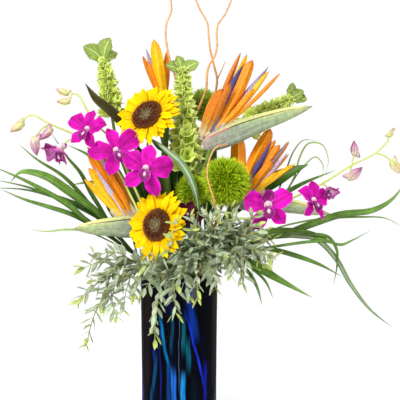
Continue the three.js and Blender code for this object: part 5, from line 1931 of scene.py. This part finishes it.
# ---------------------------------------------------------------- bells of Ireland
@dataclass
class BellSpike:
    """A spike of green bells in close whorls, with soft leaves at its top."""

    name: str
    seat: tuple[str, float]
    way: list[Point]
    length: float
    radius: float
    leaves: list[tuple[float, float, float]]
    spacing: ClassVar[tuple[float, float]] = (8.0, 19.0)
    round: ClassVar[int] = 6
    bell_shape: ClassVar[tuple[tuple[float, float], ...]] = (
        (0, 0), (0.2, 0.08), (0.38, 0.4), (0.52, 0.85), (0.82, 1.25),
    )

    def build(self) -> None:
        """Model the stem, the bells and the leaves."""
        draw = random.Random(self.name)
        form = Form()
        path, marks = VASE.stem(self.seat, self.way, 5)
        form.tube(path, taper(3.2, 2.0), Green.STALK, marks=marks, sides=8)
        whole = path.length()
        below = 5.0
        while below < self.length:
            t = path.by_length(1 - below / whole)
            spot, heading = path.at(t), path.heading(t)
            grown = min(1, 1.3 * below / self.length)
            size = self.radius * mix(0.5, 1.25, grown)
            turn = draw.uniform(0, math.tau)
            for k in range(self.round):
                angle = turn + k * math.tau / self.round + draw.uniform(-0.15, 0.15)
                out = swung(square(FRONT, heading), angle, heading)
                aim = (out + heading * draw.uniform(0.35, 0.9)).normalized()
                self.bell(form, spot, aim, size * draw.uniform(0.85, 1.12), draw)
            below += mix(*self.spacing, grown)
        top, heading = path.at(1), path.heading(1)
        for turn, lean, reach in self.leaves:
            out = swung(square(FRONT, heading), math.radians(turn), heading)
            aim = heading.lerp(out, lean / 90).normalized()
            line = Path([top - heading * 3, top + aim * reach * 0.5, top + aim * reach + out * reach * 0.12])
            side = (FRONT.cross(aim) * 0.9 + heading.cross(out) * 0.4).normalized()
            form.blade(
                line, lance(reach * 0.42, 0.2, 0.42, 0.62), side, Green.BELL_LEAF, rows=18, columns=6,
                thick=0.6, cup=draw.uniform(-0.2, 0.3), ruffle=1.6, scallop=0.12, shade=draw.random(),
            )
        form.finish(f"{self.name}_spike", "bells", self.name)

    def bell(self, form: Form, spot: Vector, aim: Vector, size: float, draw: random.Random) -> None:
        """Model one bell with its five-pointed mouth and its pale heart.

        Args:
            form: The form of the spike.
            spot: Where it sits on the stem.
            aim: The way its mouth looks.
            size: Its radius, near enough.
            draw: The spike's own draws.
        """
        heart = spot + aim * 0.8
        outline = [(r * size, z * size) for r, z in self.bell_shape]
        verts = form.turned(outline, Matrix.Identity(4), Green.BELL, steps=10, shade=draw.random())
        for vert in verts:
            turn = math.atan2(vert.co.y, vert.co.x)
            vert[form.across] = abs(math.sin(2.5 * turn))
            if vert[form.along] > 0.9:
                point = math.cos(5 * turn)
                vert.co = vert.co * (1 + 0.1 * point)
                vert.co.z += size * 0.08 * point
        bmesh.ops.transform(form.mesh, matrix=stand(heart, aim), verts=verts)
        bmesh.ops.solidify(form.mesh, geom=faces_on(verts), thickness=0.5)
        form.needle(
            heart + aim * 0.2 * size, heart + aim * 0.75 * size, size * 0.16, Green.BELL_HEART,
            draw.random(), 5
        )


BELLS = [
    BellSpike(
        "bells_left", ("middle", 4),
        [(-62, 12, 330), (-100, 8, 430), (-111, 6, 490), (-118, 5, 540), (-125, 5, 583)], 112, 12,
        [(80, 28, 34), (-75, 47, 35), (110, 75, 24), (170, 40, 22)],
    ),
    BellSpike(
        "bells_middle", ("inner", 1),
        [(10, -12, 300), (10, -34, 380), (12, -44, 430), (10, -38, 480), (8, -28, 530), (6, -22, 562)], 178,
        14.5, [(100, 60, 28), (-85, 65, 26), (-60, 20, 24), (170, 50, 20)],
    ),
    BellSpike(
        "bells_right", ("outer", 2),
        [(52, 40, 310), (88, 36, 420), (118, 29, 474), (156, 29, 500), (187, 31, 518)], 112, 12.5,
        [(75, 35, 25), (-95, 50, 24), (0, 15, 24), (180, 40, 20)],
    ),
]


# ---------------------------------------------------------------- willow, grass and leaves
@dataclass
class Willow:
    """A curly willow switch."""

    name: str
    seat: tuple[str, float]
    way: list[Point]
    radius: float = 2.3
    twig: list[Point] = field(default_factory=list)

    def build(self) -> None:
        """Model the switch, its twig and a small bud at each bend."""
        form = Form()
        path, marks = VASE.stem(self.seat, self.way, 5)
        form.tube(path, taper(self.radius, self.radius * 0.5), Green.WILLOW, marks=marks, sides=8, knobs=0.16)
        if self.twig:
            form.tube(Path(self.twig), taper(1.2, 0.6), Green.WILLOW, rows=8, sides=6)
        for k, point in enumerate(self.way[2:-1]):
            heading = path.heading((k + 4) / path.spans)
            out = square(Vector((math.cos(k * 2.4), math.sin(k * 2.4), 0)), heading)
            foot = Vector(point)
            form.needle(foot, foot + out * self.radius * 1.3 + heading * 2.5, 1.1, Green.WILLOW, 0.3, 5)
        form.finish(f"{self.name}_bark", "willow", self.name)


WILLOWS = [
    Willow(
        "willow_left", ("middle", 3),
        [
            (-16, 24, 300), (-12, 22, 420), (2, 14, 500), (-6, 8, 552), (-15, 4, 580), (-22, 4, 622),
            (-20, 4, 640), (-12, 2, 662), (-19, 0, 700),
        ],
    ),
    Willow(
        "willow_centre", ("middle", 2),
        [
            (18, 34, 300), (40, 40, 420), (62, 36, 500), (61, 20, 527), (63, 14, 549), (58, 10, 570),
            (52, 8, 595), (49, 8, 619), (47, 8, 640), (35, 8, 662), (19, 8, 700),
        ],
        2.3, [(63, 14, 549), (70, 9, 562), (76, 6, 578)],
    ),
    Willow(
        "willow_right", ("middle", 0),
        [
            (30, -2, 300), (28, -10, 400), (24, -26, 462), (27, -30, 486), (37, -26, 510), (45, -22, 534),
            (46, -16, 554), (50, -10, 571), (59, -6, 586), (63, -4, 604), (62, -6, 618), (64, -8, 636),
            (77, -6, 656), (96, -4, 704),
        ],
    ),
    Willow(
        "willow_front", ("outer", 13.7),
        [
            (44, -84, 282), (60, -112, 322), (57, -122, 353), (51, -124, 372), (46, -124, 392),
            (48, -122, 414), (60, -112, 437), (77, -104, 441),
        ],
        1.9,
    ),
]


def blade_side(heading: Vector, turn: float) -> Vector:
    """Turn a blade on its length, so that it shows its face from the front as well as from above.

    Args:
        heading: The way it runs.
        turn: Degrees that it is turned towards the front.

    Returns:
        The way its width lies.
    """
    return swung(UP.cross(heading).normalized(), math.radians(turn if heading.x > 0 else -turn), heading)


@dataclass
class Tuft:
    """A bunch of long grass blades from one foot: half width and points of each."""

    name: str
    seat: tuple[str, float]
    neck: Point
    blades: list[tuple[float, list[Point]]]
    sheen: tuple[int, ...] = ()
    thin: ClassVar[float] = 2.4

    def build(self) -> None:
        """Model the blades and the stem under them."""
        draw = random.Random(self.name)
        form = Form()
        path, marks = VASE.stem(self.seat, [self.neck], 4)
        form.tube(path, taper(4.0, 2.6), Green.STALK, marks=marks, sides=8)
        foot = Vector(self.neck) - path.heading(1) * 9
        for k, (width, points) in enumerate(self.blades):
            line = Path([foot, *points])
            finish = Green.TENDRIL if width < self.thin else Green.GRASS
            # The blades listed in sheen take the painted sheen finish.
            if k in self.sheen:
                finish = Green.GRASS_SHEEN
            form.blade(
                line, lance(width, 0.2, 0.5, 1), blade_side(line.heading(0.4), 55), finish,
                rows=6 * len(points), thick=0.6, cup=0.3, shade=draw.random(), twist=draw.uniform(-0.2, 0.2),
            )
        form.finish(f"{self.name}_blades", "grass", self.name)


TUFTS = [
    Tuft(
        "grass_left", ("outer", 8), (-72, -6, 262),
        [
            (3.8, [
                (-115, -12, 305), (-142, -18, 337), (-168, -22, 368), (-192, -24, 391), (-231, -26, 416),
                (-260, -28, 441),
            ]),
            (5, [
                (-112, 2, 305), (-131, -4, 336), (-146, -8, 361), (-162, -10, 393), (-184, -10, 420),
                (-209, -10, 459),
            ]),
            (9, [
                (-110, -18, 300), (-136, -26, 331), (-164, -32, 352), (-188, -36, 370), (-212, -38, 386),
                (-239, -40, 395), (-257, -40, 395), (-272, -40, 380),
            ]),
            (5.5, [
                (-118, -30, 296), (-154, -38, 320), (-176, -42, 340), (-202, -44, 357), (-251, -48, 384),
                (-300, -50, 406),
            ]),
            (3.6, [
                (-120, -16, 306), (-155, -20, 338), (-179, -22, 348), (-217, -24, 361), (-254, -26, 373),
                (-303, -26, 384),
            ]),
            (3, [(-116, -6, 306), (-160, -10, 334), (-200, -12, 352), (-250, -14, 366), (-308, -14, 370)]),
            (5, [
                (-114, -24, 290), (-156, -32, 317), (-178, -36, 328), (-215, -38, 340), (-252, -40, 352),
                (-287, -42, 368),
            ]),
            (4, [(-88, 22, 320), (-116, 40, 380), (-150, 50, 420), (-190, 54, 440)]),
            (1.8, [
                (-110, -34, 282), (-150, -42, 300), (-182, -46, 303), (-215, -46, 300), (-240, -46, 304),
            ]),
        ],
    ),
    Tuft(
        "grass_right", ("outer", 0), (70, -16, 258),
        [
            (9.5, [(112, -44, 284), (144, -52, 296), (196, -56, 296), (228, -58, 290), (249, -60, 281)]),
            (6.4, [
                (112, -46, 280), (160, -56, 292), (216, -60, 290), (250, -60, 260), (276, -60, 216),
                (308, -60, 175), (349, -60, 143),
            ]),
            (3.2, [
                (150, -50, 292), (205, -58, 296), (240, -60, 292), (254, -60, 272), (255, -60, 247),
                (250, -60, 216),
            ]),
            (4.6, [(112, -46, 272), (150, -66, 272), (190, -74, 262), (226, -78, 249), (262, -80, 230)]),
            (6.5, [
                (130, -32, 282), (181, -36, 298), (209, -36, 308), (263, -34, 326), (315, -32, 333),
                (346, -30, 350), (370, -30, 379),
            ]),
            (2, [
                (150, -24, 300), (200, -24, 314), (248, -24, 320), (295, -22, 322), (338, -20, 320),
                (368, -20, 305),
            ]),
            (1.8, [
                (120, -10, 300), (160, 2, 340), (190, 6, 384), (200, 4, 420), (214, 4, 442), (236, 2, 440),
                (246, 0, 414), (240, -4, 392),
            ]),
            (1.5, [
                (120, -8, 300), (158, 6, 350), (178, 8, 400), (190, 6, 430), (206, 4, 448), (228, 2, 446),
            ]),
            (1.2, [
                (130, -8, 300), (176, 4, 360), (204, 6, 402), (226, 2, 420), (238, 0, 404), (234, -2, 384),
            ]),
            (5, [(110, 10, 300), (150, 24, 340), (200, 30, 372), (262, 30, 398)]),
        ],
        (1,),
    ),
    Tuft(
        "grass_low_right", ("outer", 15), (72, -40, 250),
        [
            (8.5, [(92, -66, 258), (121, -76, 247), (157, -82, 227), (214, -86, 197)]),
            (3.5, [(92, -60, 252), (112, -70, 236), (126, -74, 212), (134, -76, 184)]),
            (3.2, [(96, -58, 256), (120, -62, 240), (140, -64, 220), (152, -66, 194)]),
            (2.8, [
                (90, -56, 262), (160, -90, 280), (232, -96, 288), (258, -92, 282), (276, -90, 289),
                (304, -88, 304),
            ]),
        ],
    ),
    Tuft(
        "grass_back", ("outer", 5), (-34, 76, 262),
        [
            (5, [(-60, 110, 300), (-100, 150, 350), (-150, 180, 372), (-205, 196, 366)]),
            (6, [(-30, 118, 310), (-30, 160, 370), (-40, 196, 410), (-60, 226, 424)]),
            (5, [(10, 112, 300), (50, 156, 352), (96, 186, 380), (150, 204, 384)]),
            (4, [(-50, 104, 320), (-76, 120, 400), (-110, 130, 452)]),
            (4, [(0, 108, 320), (26, 128, 400), (60, 140, 450)]),
        ],
    ),
]


@dataclass
class LongLeaf:
    """A single long leaf on its own stalk."""

    name: str
    seat: tuple[str, float]
    way: list[Point]
    rib: list[Point]
    width: float
    turn: float
    finish: Green
    slot: str
    low_leaves: list[tuple[float, list[Point]]] = field(default_factory=list)

    def build(self) -> None:
        """Model the leaf, its stalk and the lower leaves beside it."""
        draw = random.Random(self.name)
        form = Form()
        for width, rib in self.low_leaves:
            low = Path(rib)
            form.blade(
                low, lance(width, 0.15, 0.5, 0.9), blade_side(low.heading(0.5), self.turn), self.finish,
                rows=16, columns=6, thick=0.6, cup=0.2, ruffle=0.8, shade=draw.random(),
            )
        line = Path(self.rib)
        form.blade(
            line, lance(self.width, 0.1, 0.45, 0.9), blade_side(line.heading(0.5), self.turn), self.finish,
            rows=28, columns=6, thick=0.7, cup=0.25, ruffle=0.6,
        )
        path, marks = VASE.stem(self.seat, [*self.way, line.at(0.04)], 5)
        form.tube(path, taper(2.5, 1.4), Green.STALK, marks=marks, sides=8)
        form.finish(f"{self.name}_blade", self.slot, self.name)


LEAVES = [
    LongLeaf(
        "leaf_bronze", ("outer", 7), [(-58, 22, 300), (-64, 10, 380)],
        [(-60, -4, 420), (-84, -18, 464), (-112, -24, 494), (-136, -28, 515), (-152, -30, 540)], 12, 50,
        Green.DARK_LEAF, "dark_leaf",
    ),
    LongLeaf(
        "leaf_centre", ("middle", 5), [(-20, 0, 290)],
        [(-8, -6, 330), (-3, -10, 380), (-1, -10, 440), (-3, -6, 496)], 15, 85, Green.BROAD_LEAF,
        "broad_leaf",
        [
            (13, [(-24, 6, 290), (-50, 14, 350), (-64, 18, 400), (-72, 20, 448)]),
            (12, [(-16, 12, 290), (-32, 20, 350), (-44, 26, 400), (-54, 30, 446)]),
            (13, [(-4, 10, 290), (14, 20, 340), (20, 26, 390), (16, 30, 440)]),
            (11, [(-36, -8, 280), (-66, -14, 320), (-88, -16, 364), (-98, -18, 402)]),
            (10, [(-34, -14, 276), (-74, -20, 300), (-104, -22, 330), (-124, -22, 352)]),
            (11, [(-18, -20, 290), (-30, -34, 340), (-34, -40, 380), (-30, -44, 418)]),
            (12, [(-30, -10, 285), (-58, -18, 330), (-76, -24, 372), (-84, -26, 412)]),
            (11, [(-26, -8, 285), (-48, -14, 330), (-60, -16, 376), (-64, -18, 420)]),
            (10, [(-36, -16, 280), (-66, -30, 308), (-92, -34, 336), (-106, -36, 372)]),
        ],
    ),
    LongLeaf(
        "leaf_front", ("outer", 13.3), [(24, -80, 288)],
        [(34, -98, 330), (27, -102, 366), (19, -100, 388), (3, -94, 413), (-21, -86, 434), (-45, -70, 452)],
        # This leaf takes the painted sheen finish.
        6.5, 70, Green.GRASS_SHEEN, "grass",
    ),
    LongLeaf(
        "leaf_right", ("outer", 1), [(66, 10, 290)],
        [(88, 8, 322), (137, 8, 366), (175, 6, 390), (214, 2, 408)], 14, 60, Green.BROAD_LEAF, "broad_leaf",
        [
            (12, [(44, 14, 290), (48, 20, 360), (52, 24, 420), (62, 26, 466)]),
            (12, [(66, 8, 290), (92, 8, 336), (112, 10, 376), (124, 10, 410)]),
            (11, [(36, 0, 290), (38, -4, 350), (42, -8, 400), (48, -10, 440)]),
        ],
    ),
]


# ---------------------------------------------------------------- leafy branches
@dataclass
class Foliage:
    """One kind of branch: its leaves' size, finishes and spacing, its wood and the fineness of a leaf."""

    length: float
    width: float
    finish: Green
    young: Green
    spacing: float
    wood: Green
    rows: int
    columns: int
    slot: str


EUCALYPTUS = Foliage(30, 5.6, Green.EUCALYPTUS, Green.EUCALYPTUS_TIP, 11.0, Green.TWIG, 5, 2, "eucalyptus")
SALAL = Foliage(62, 18, Green.BROAD_LEAF, Green.BROAD_LEAF, 60, Green.STALK, 10, 6, "broad_leaf")


@dataclass
class Branch:
    """A branch with leaves in pairs along it and its side twigs."""

    name: str
    seat: tuple[str, float]
    way: list[Point]
    kind: Foliage
    twigs: list[list[Point]] = field(default_factory=list)
    bare: float = 0.5

    def build(self) -> None:
        """Model the branch, its twigs and all their leaves."""
        draw = random.Random(self.name)
        form = Form()
        path, marks = VASE.stem(self.seat, self.way, 5)
        form.tube(path, taper(1.9, 0.8), self.kind.wood, marks=marks, sides=6)
        self.dress(form, path, self.bare, draw)
        for twig in self.twigs:
            line = Path(twig)
            form.tube(line, taper(1.1, 0.5), self.kind.wood, rows=8, sides=5)
            self.dress(form, line, 0.12, draw)
        form.finish(f"{self.name}_leaves", self.kind.slot, self.name)

    def dress(self, form: Form, path: Path, start: float, draw: random.Random) -> None:
        """Set leaves along a path in pairs, smaller and younger towards its tip.

        Args:
            form: The form of the branch.
            path: The branch or twig.
            start: Share of its length that stays bare.
            draw: The branch's own draws.
        """
        kind = self.kind
        length = path.length()
        count = max(1, round((length - length * start) / kind.spacing))
        for j in range(count + 1):
            late = j / count
            t = path.by_length((start + (1 - start) * late) * 0.995)
            spot, heading = path.at(t), path.heading(t)
            for half in (0, math.pi):
                out = swung(square(FRONT, heading), j * 1.75 + half + draw.uniform(-0.9, 0.9), heading)
                size = kind.length * mix(1.1, 0.6, late) * draw.uniform(0.75, 1.15)
                aim = (out * mix(1.0, 0.5, late) + heading * draw.uniform(0.1, 0.9)).normalized()
                sag = UP * -size * draw.uniform(0.02, 0.16)
                line = Path([spot, spot + aim * size * 0.5, spot + aim * size + heading * size * 0.1 + sag])
                form.blade(
                    line, lance(kind.width * size / kind.length, 0.22, 0.5, 0.95), heading.cross(out),
                    kind.young if late > 0.93 else kind.finish, rows=kind.rows, columns=kind.columns,
                    thick=0.5,
                    cup=draw.uniform(0.0, 0.35), twist=draw.uniform(-0.9, 0.9), shade=draw.random(),
                )


BRANCHES = [
    Branch(
        "salal_back", ("outer", 3.4), [(10, 76, 280), (6, 100, 340), (0, 108, 400), (-6, 108, 440)], SALAL,
        [
            [(8, 96, 318), (44, 104, 350), (62, 110, 392)],
            [(4, 104, 366), (-30, 112, 372), (-60, 116, 404)], [(8, 92, 310), (24, 74, 352), (30, 62, 404)],
            [(6, 100, 340), (-22, 80, 384), (-30, 66, 430)],
        ],
        0.7,
    ),
    Branch(
        "eucalyptus_left_high", ("outer", 9),
        [(-66, -50, 252), (-92, -74, 250), (-120, -82, 228), (-142, -84, 209), (-160, -84, 192)],
        EUCALYPTUS,
        [
            [(-80, -64, 254), (-118, -86, 257), (-148, -92, 246)],
            [(-74, -60, 254), (-100, -90, 270), (-132, -96, 266)],
            [(-96, -76, 248), (-116, -92, 214), (-120, -94, 190)],
            [(-84, -70, 252), (-104, -96, 240), (-134, -98, 226)],
        ],
    ),
    Branch(
        "eucalyptus_left_low", ("outer", 10),
        [(-56, -66, 250), (-84, -90, 236), (-116, -98, 202), (-134, -98, 168), (-146, -96, 122)],
        EUCALYPTUS,
        [
            [(-70, -78, 246), (-80, -98, 218), (-88, -98, 180)],
            [(-100, -95, 220), (-104, -104, 196), (-98, -104, 170)],
            [(-62, -72, 250), (-60, -98, 236), (-70, -104, 206)],
        ],
    ),
    Branch(
        "eucalyptus_front_left", ("outer", 12),
        [(-4, -72, 252), (-20, -92, 240), (-31, -98, 204), (-36, -94, 168), (-37, -92, 130)], EUCALYPTUS,
        [
            [(-12, -82, 250), (-6, -106, 216), (-4, -102, 176)],
            [(-10, -80, 250), (-36, -98, 232), (-58, -102, 206)],
            [(-6, -74, 252), (-22, -104, 262), (-50, -118, 252)],
            [(-6, -76, 250), (8, -104, 236), (16, -106, 204)],
        ],
    ),
    Branch(
        "eucalyptus_front", ("outer", 12.8),
        [(22, -74, 252), (28, -102, 258), (30, -112, 228), (31, -110, 200)], EUCALYPTUS,
        [
            [(24, -86, 258), (12, -116, 270), (-16, -132, 274)],
            [(28, -102, 258), (52, -118, 246), (60, -118, 216)],
            [(24, -84, 256), (28, -118, 292), (22, -132, 308)],
            [(24, -88, 258), (0, -118, 286), (-10, -138, 296)],
            [(26, -92, 258), (46, -122, 274), (70, -134, 268)],
            [(26, -96, 258), (8, -120, 250), (0, -124, 222)],
            [(25, -90, 258), (48, -116, 296), (62, -130, 318)],
            [(24, -90, 262), (30, -124, 300), (20, -134, 330)],
            [(26, -92, 262), (48, -124, 310), (58, -132, 340)],
            [(24, -90, 260), (4, -124, 296), (-4, -138, 318)],
            [(28, -96, 262), (70, -126, 300), (92, -130, 326)],
        ],
    ),
    Branch(
        "eucalyptus_right_high", ("outer", 14.5),
        [(60, -66, 256), (74, -96, 280), (98, -116, 292), (128, -124, 288)], EUCALYPTUS,
        [
            [(74, -96, 280), (60, -120, 298), (32, -130, 303)],
            [(74, -96, 280), (94, -124, 272), (114, -132, 252)],
            [(66, -82, 270), (74, -118, 304), (78, -130, 324)],
            [(70, -90, 276), (96, -118, 308), (122, -130, 314)],
            [(80, -104, 284), (84, -128, 262), (82, -132, 238)],
            [(64, -76, 264), (46, -108, 276), (34, -124, 284)],
            [(88, -110, 288), (112, -130, 280), (138, -136, 270)],
            [(66, -82, 270), (86, -118, 316), (84, -128, 344)],
            [(70, -90, 276), (106, -116, 314), (122, -124, 334)],
            [(64, -76, 264), (58, -116, 304), (44, -128, 336)],
            [(74, -96, 280), (104, -124, 300), (136, -132, 306)],
        ],
    ),
    Branch(
        "eucalyptus_right_low", ("outer", 15.5),
        [(74, -34, 252), (90, -58, 272), (112, -84, 270), (134, -100, 252)], EUCALYPTUS,
        [
            [(112, -84, 270), (100, -96, 246), (102, -108, 224)],
            [(90, -58, 272), (116, -88, 292), (146, -102, 290)],
            [(96, -66, 272), (126, -96, 276), (150, -110, 262)],
            [(84, -50, 264), (84, -92, 262), (90, -110, 244)],
        ],
    ),
    Branch(
        "eucalyptus_back", ("outer", 4.6),
        [(-12, 74, 252), (-16, 100, 258), (-20, 122, 236), (-22, 130, 200), (-22, 132, 160)], EUCALYPTUS,
        [
            [(-14, 90, 256), (18, 116, 250), (34, 124, 212)],
            [(-16, 100, 258), (-44, 118, 246), (-58, 124, 214)],
        ],
    ),
]


# ---------------------------------------------------------------- studio
@dataclass
class Studio:
    """A plain pale floor, soft light from all sides and the camera."""

    camera_mm: Point = (34.65, -2200, 449)
    pitch: float = 87.4
    lens: float = 120
    floor_radius: float = 1.3
    heart_mm: Point = (0, 0, 380)
    lights: ClassVar[tuple[tuple[str, Point, float, float], ...]] = (
        ("key_light", (-900, -1500, 1500), 0.7, 40),
        ("fill_light", (1300, -1300, 900), 1.2, 13),
        ("top_light", (100, 500, 1800), 1.2, 12),
        ("back_light", (-500, 1500, 1100), 1.2, 10),
    )

    def build(self) -> None:
        """Set up the floor, lights, sky and camera."""
        scene = bpy.context.scene
        scene.view_settings.view_transform = "Standard"
        form = bmesh.new()
        bmesh.ops.create_circle(form, cap_ends=True, segments=96, radius=self.floor_radius)
        data = bpy.data.meshes.new("studio_floor")
        form.to_mesh(data)
        form.free()
        data.materials.append(PaperFinish().material())
        floor = bpy.data.objects.new("studio_floor", data)
        floor.visible_glossy = False
        scene.collection.objects.link(floor)
        world = bpy.data.worlds.new("studio_sky")
        world.use_nodes = True
        sky = world.node_tree
        # A white backdrop for the eye, a dimmer room for the soft light and a dark one for reflections.
        ray = add_node(sky, "LightPath").node.outputs
        seen = add_node(sky, "Math", {0: ray["Is Camera Ray"], 1: 0.9}, operation="MULTIPLY")
        soft = add_node(sky, "Math", {0: ray["Is Diffuse Ray"], 1: 0.26}, operation="MULTIPLY")
        level = add_node(sky, "Math", {0: seen, 1: soft}, operation="ADD")
        level = add_node(sky, "Math", {0: level, 1: 0.1}, operation="ADD")
        sky.nodes["Background"].inputs["Color"].default_value = (1, 1, 1, 1)
        sky.links.new(level, sky.nodes["Background"].inputs["Strength"])
        scene.world = world
        for name, place, size, power in self.lights:
            lamp = bpy.data.lights.new(name, "AREA")
            lamp.size, lamp.energy = size, power
            light = bpy.data.objects.new(name, lamp)
            light.location = Vector(place) * MM
            aim = Vector(self.heart_mm) * MM - light.location
            light.rotation_euler = aim.to_track_quat("-Z", "Y").to_euler()
            scene.collection.objects.link(light)
        lens = bpy.data.cameras.new("camera")
        lens.lens, lens.sensor_width = self.lens, 36
        camera = bpy.data.objects.new("camera", lens)
        camera.location = Vector(self.camera_mm) * MM
        camera.rotation_euler = (math.radians(self.pitch), 0, 0)
        scene.collection.objects.link(camera)
        scene.camera = camera


def main() -> None:
    """Build the whole arrangement and note its size."""
    logging.basicConfig(level=logging.INFO, format="%(message)s")
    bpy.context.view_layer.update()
    Studio().build()
    VASE.build()
    flowers = (*BIRDS, *SUNFLOWERS, *SPRAYS, DARK_BLOOM, *DIANTHUS, *BELLS)
    for part in (*flowers, *WILLOWS, *TUFTS, *LEAVES, *BRANCHES):
        part.build()


if __name__ == "__main__":
    main()
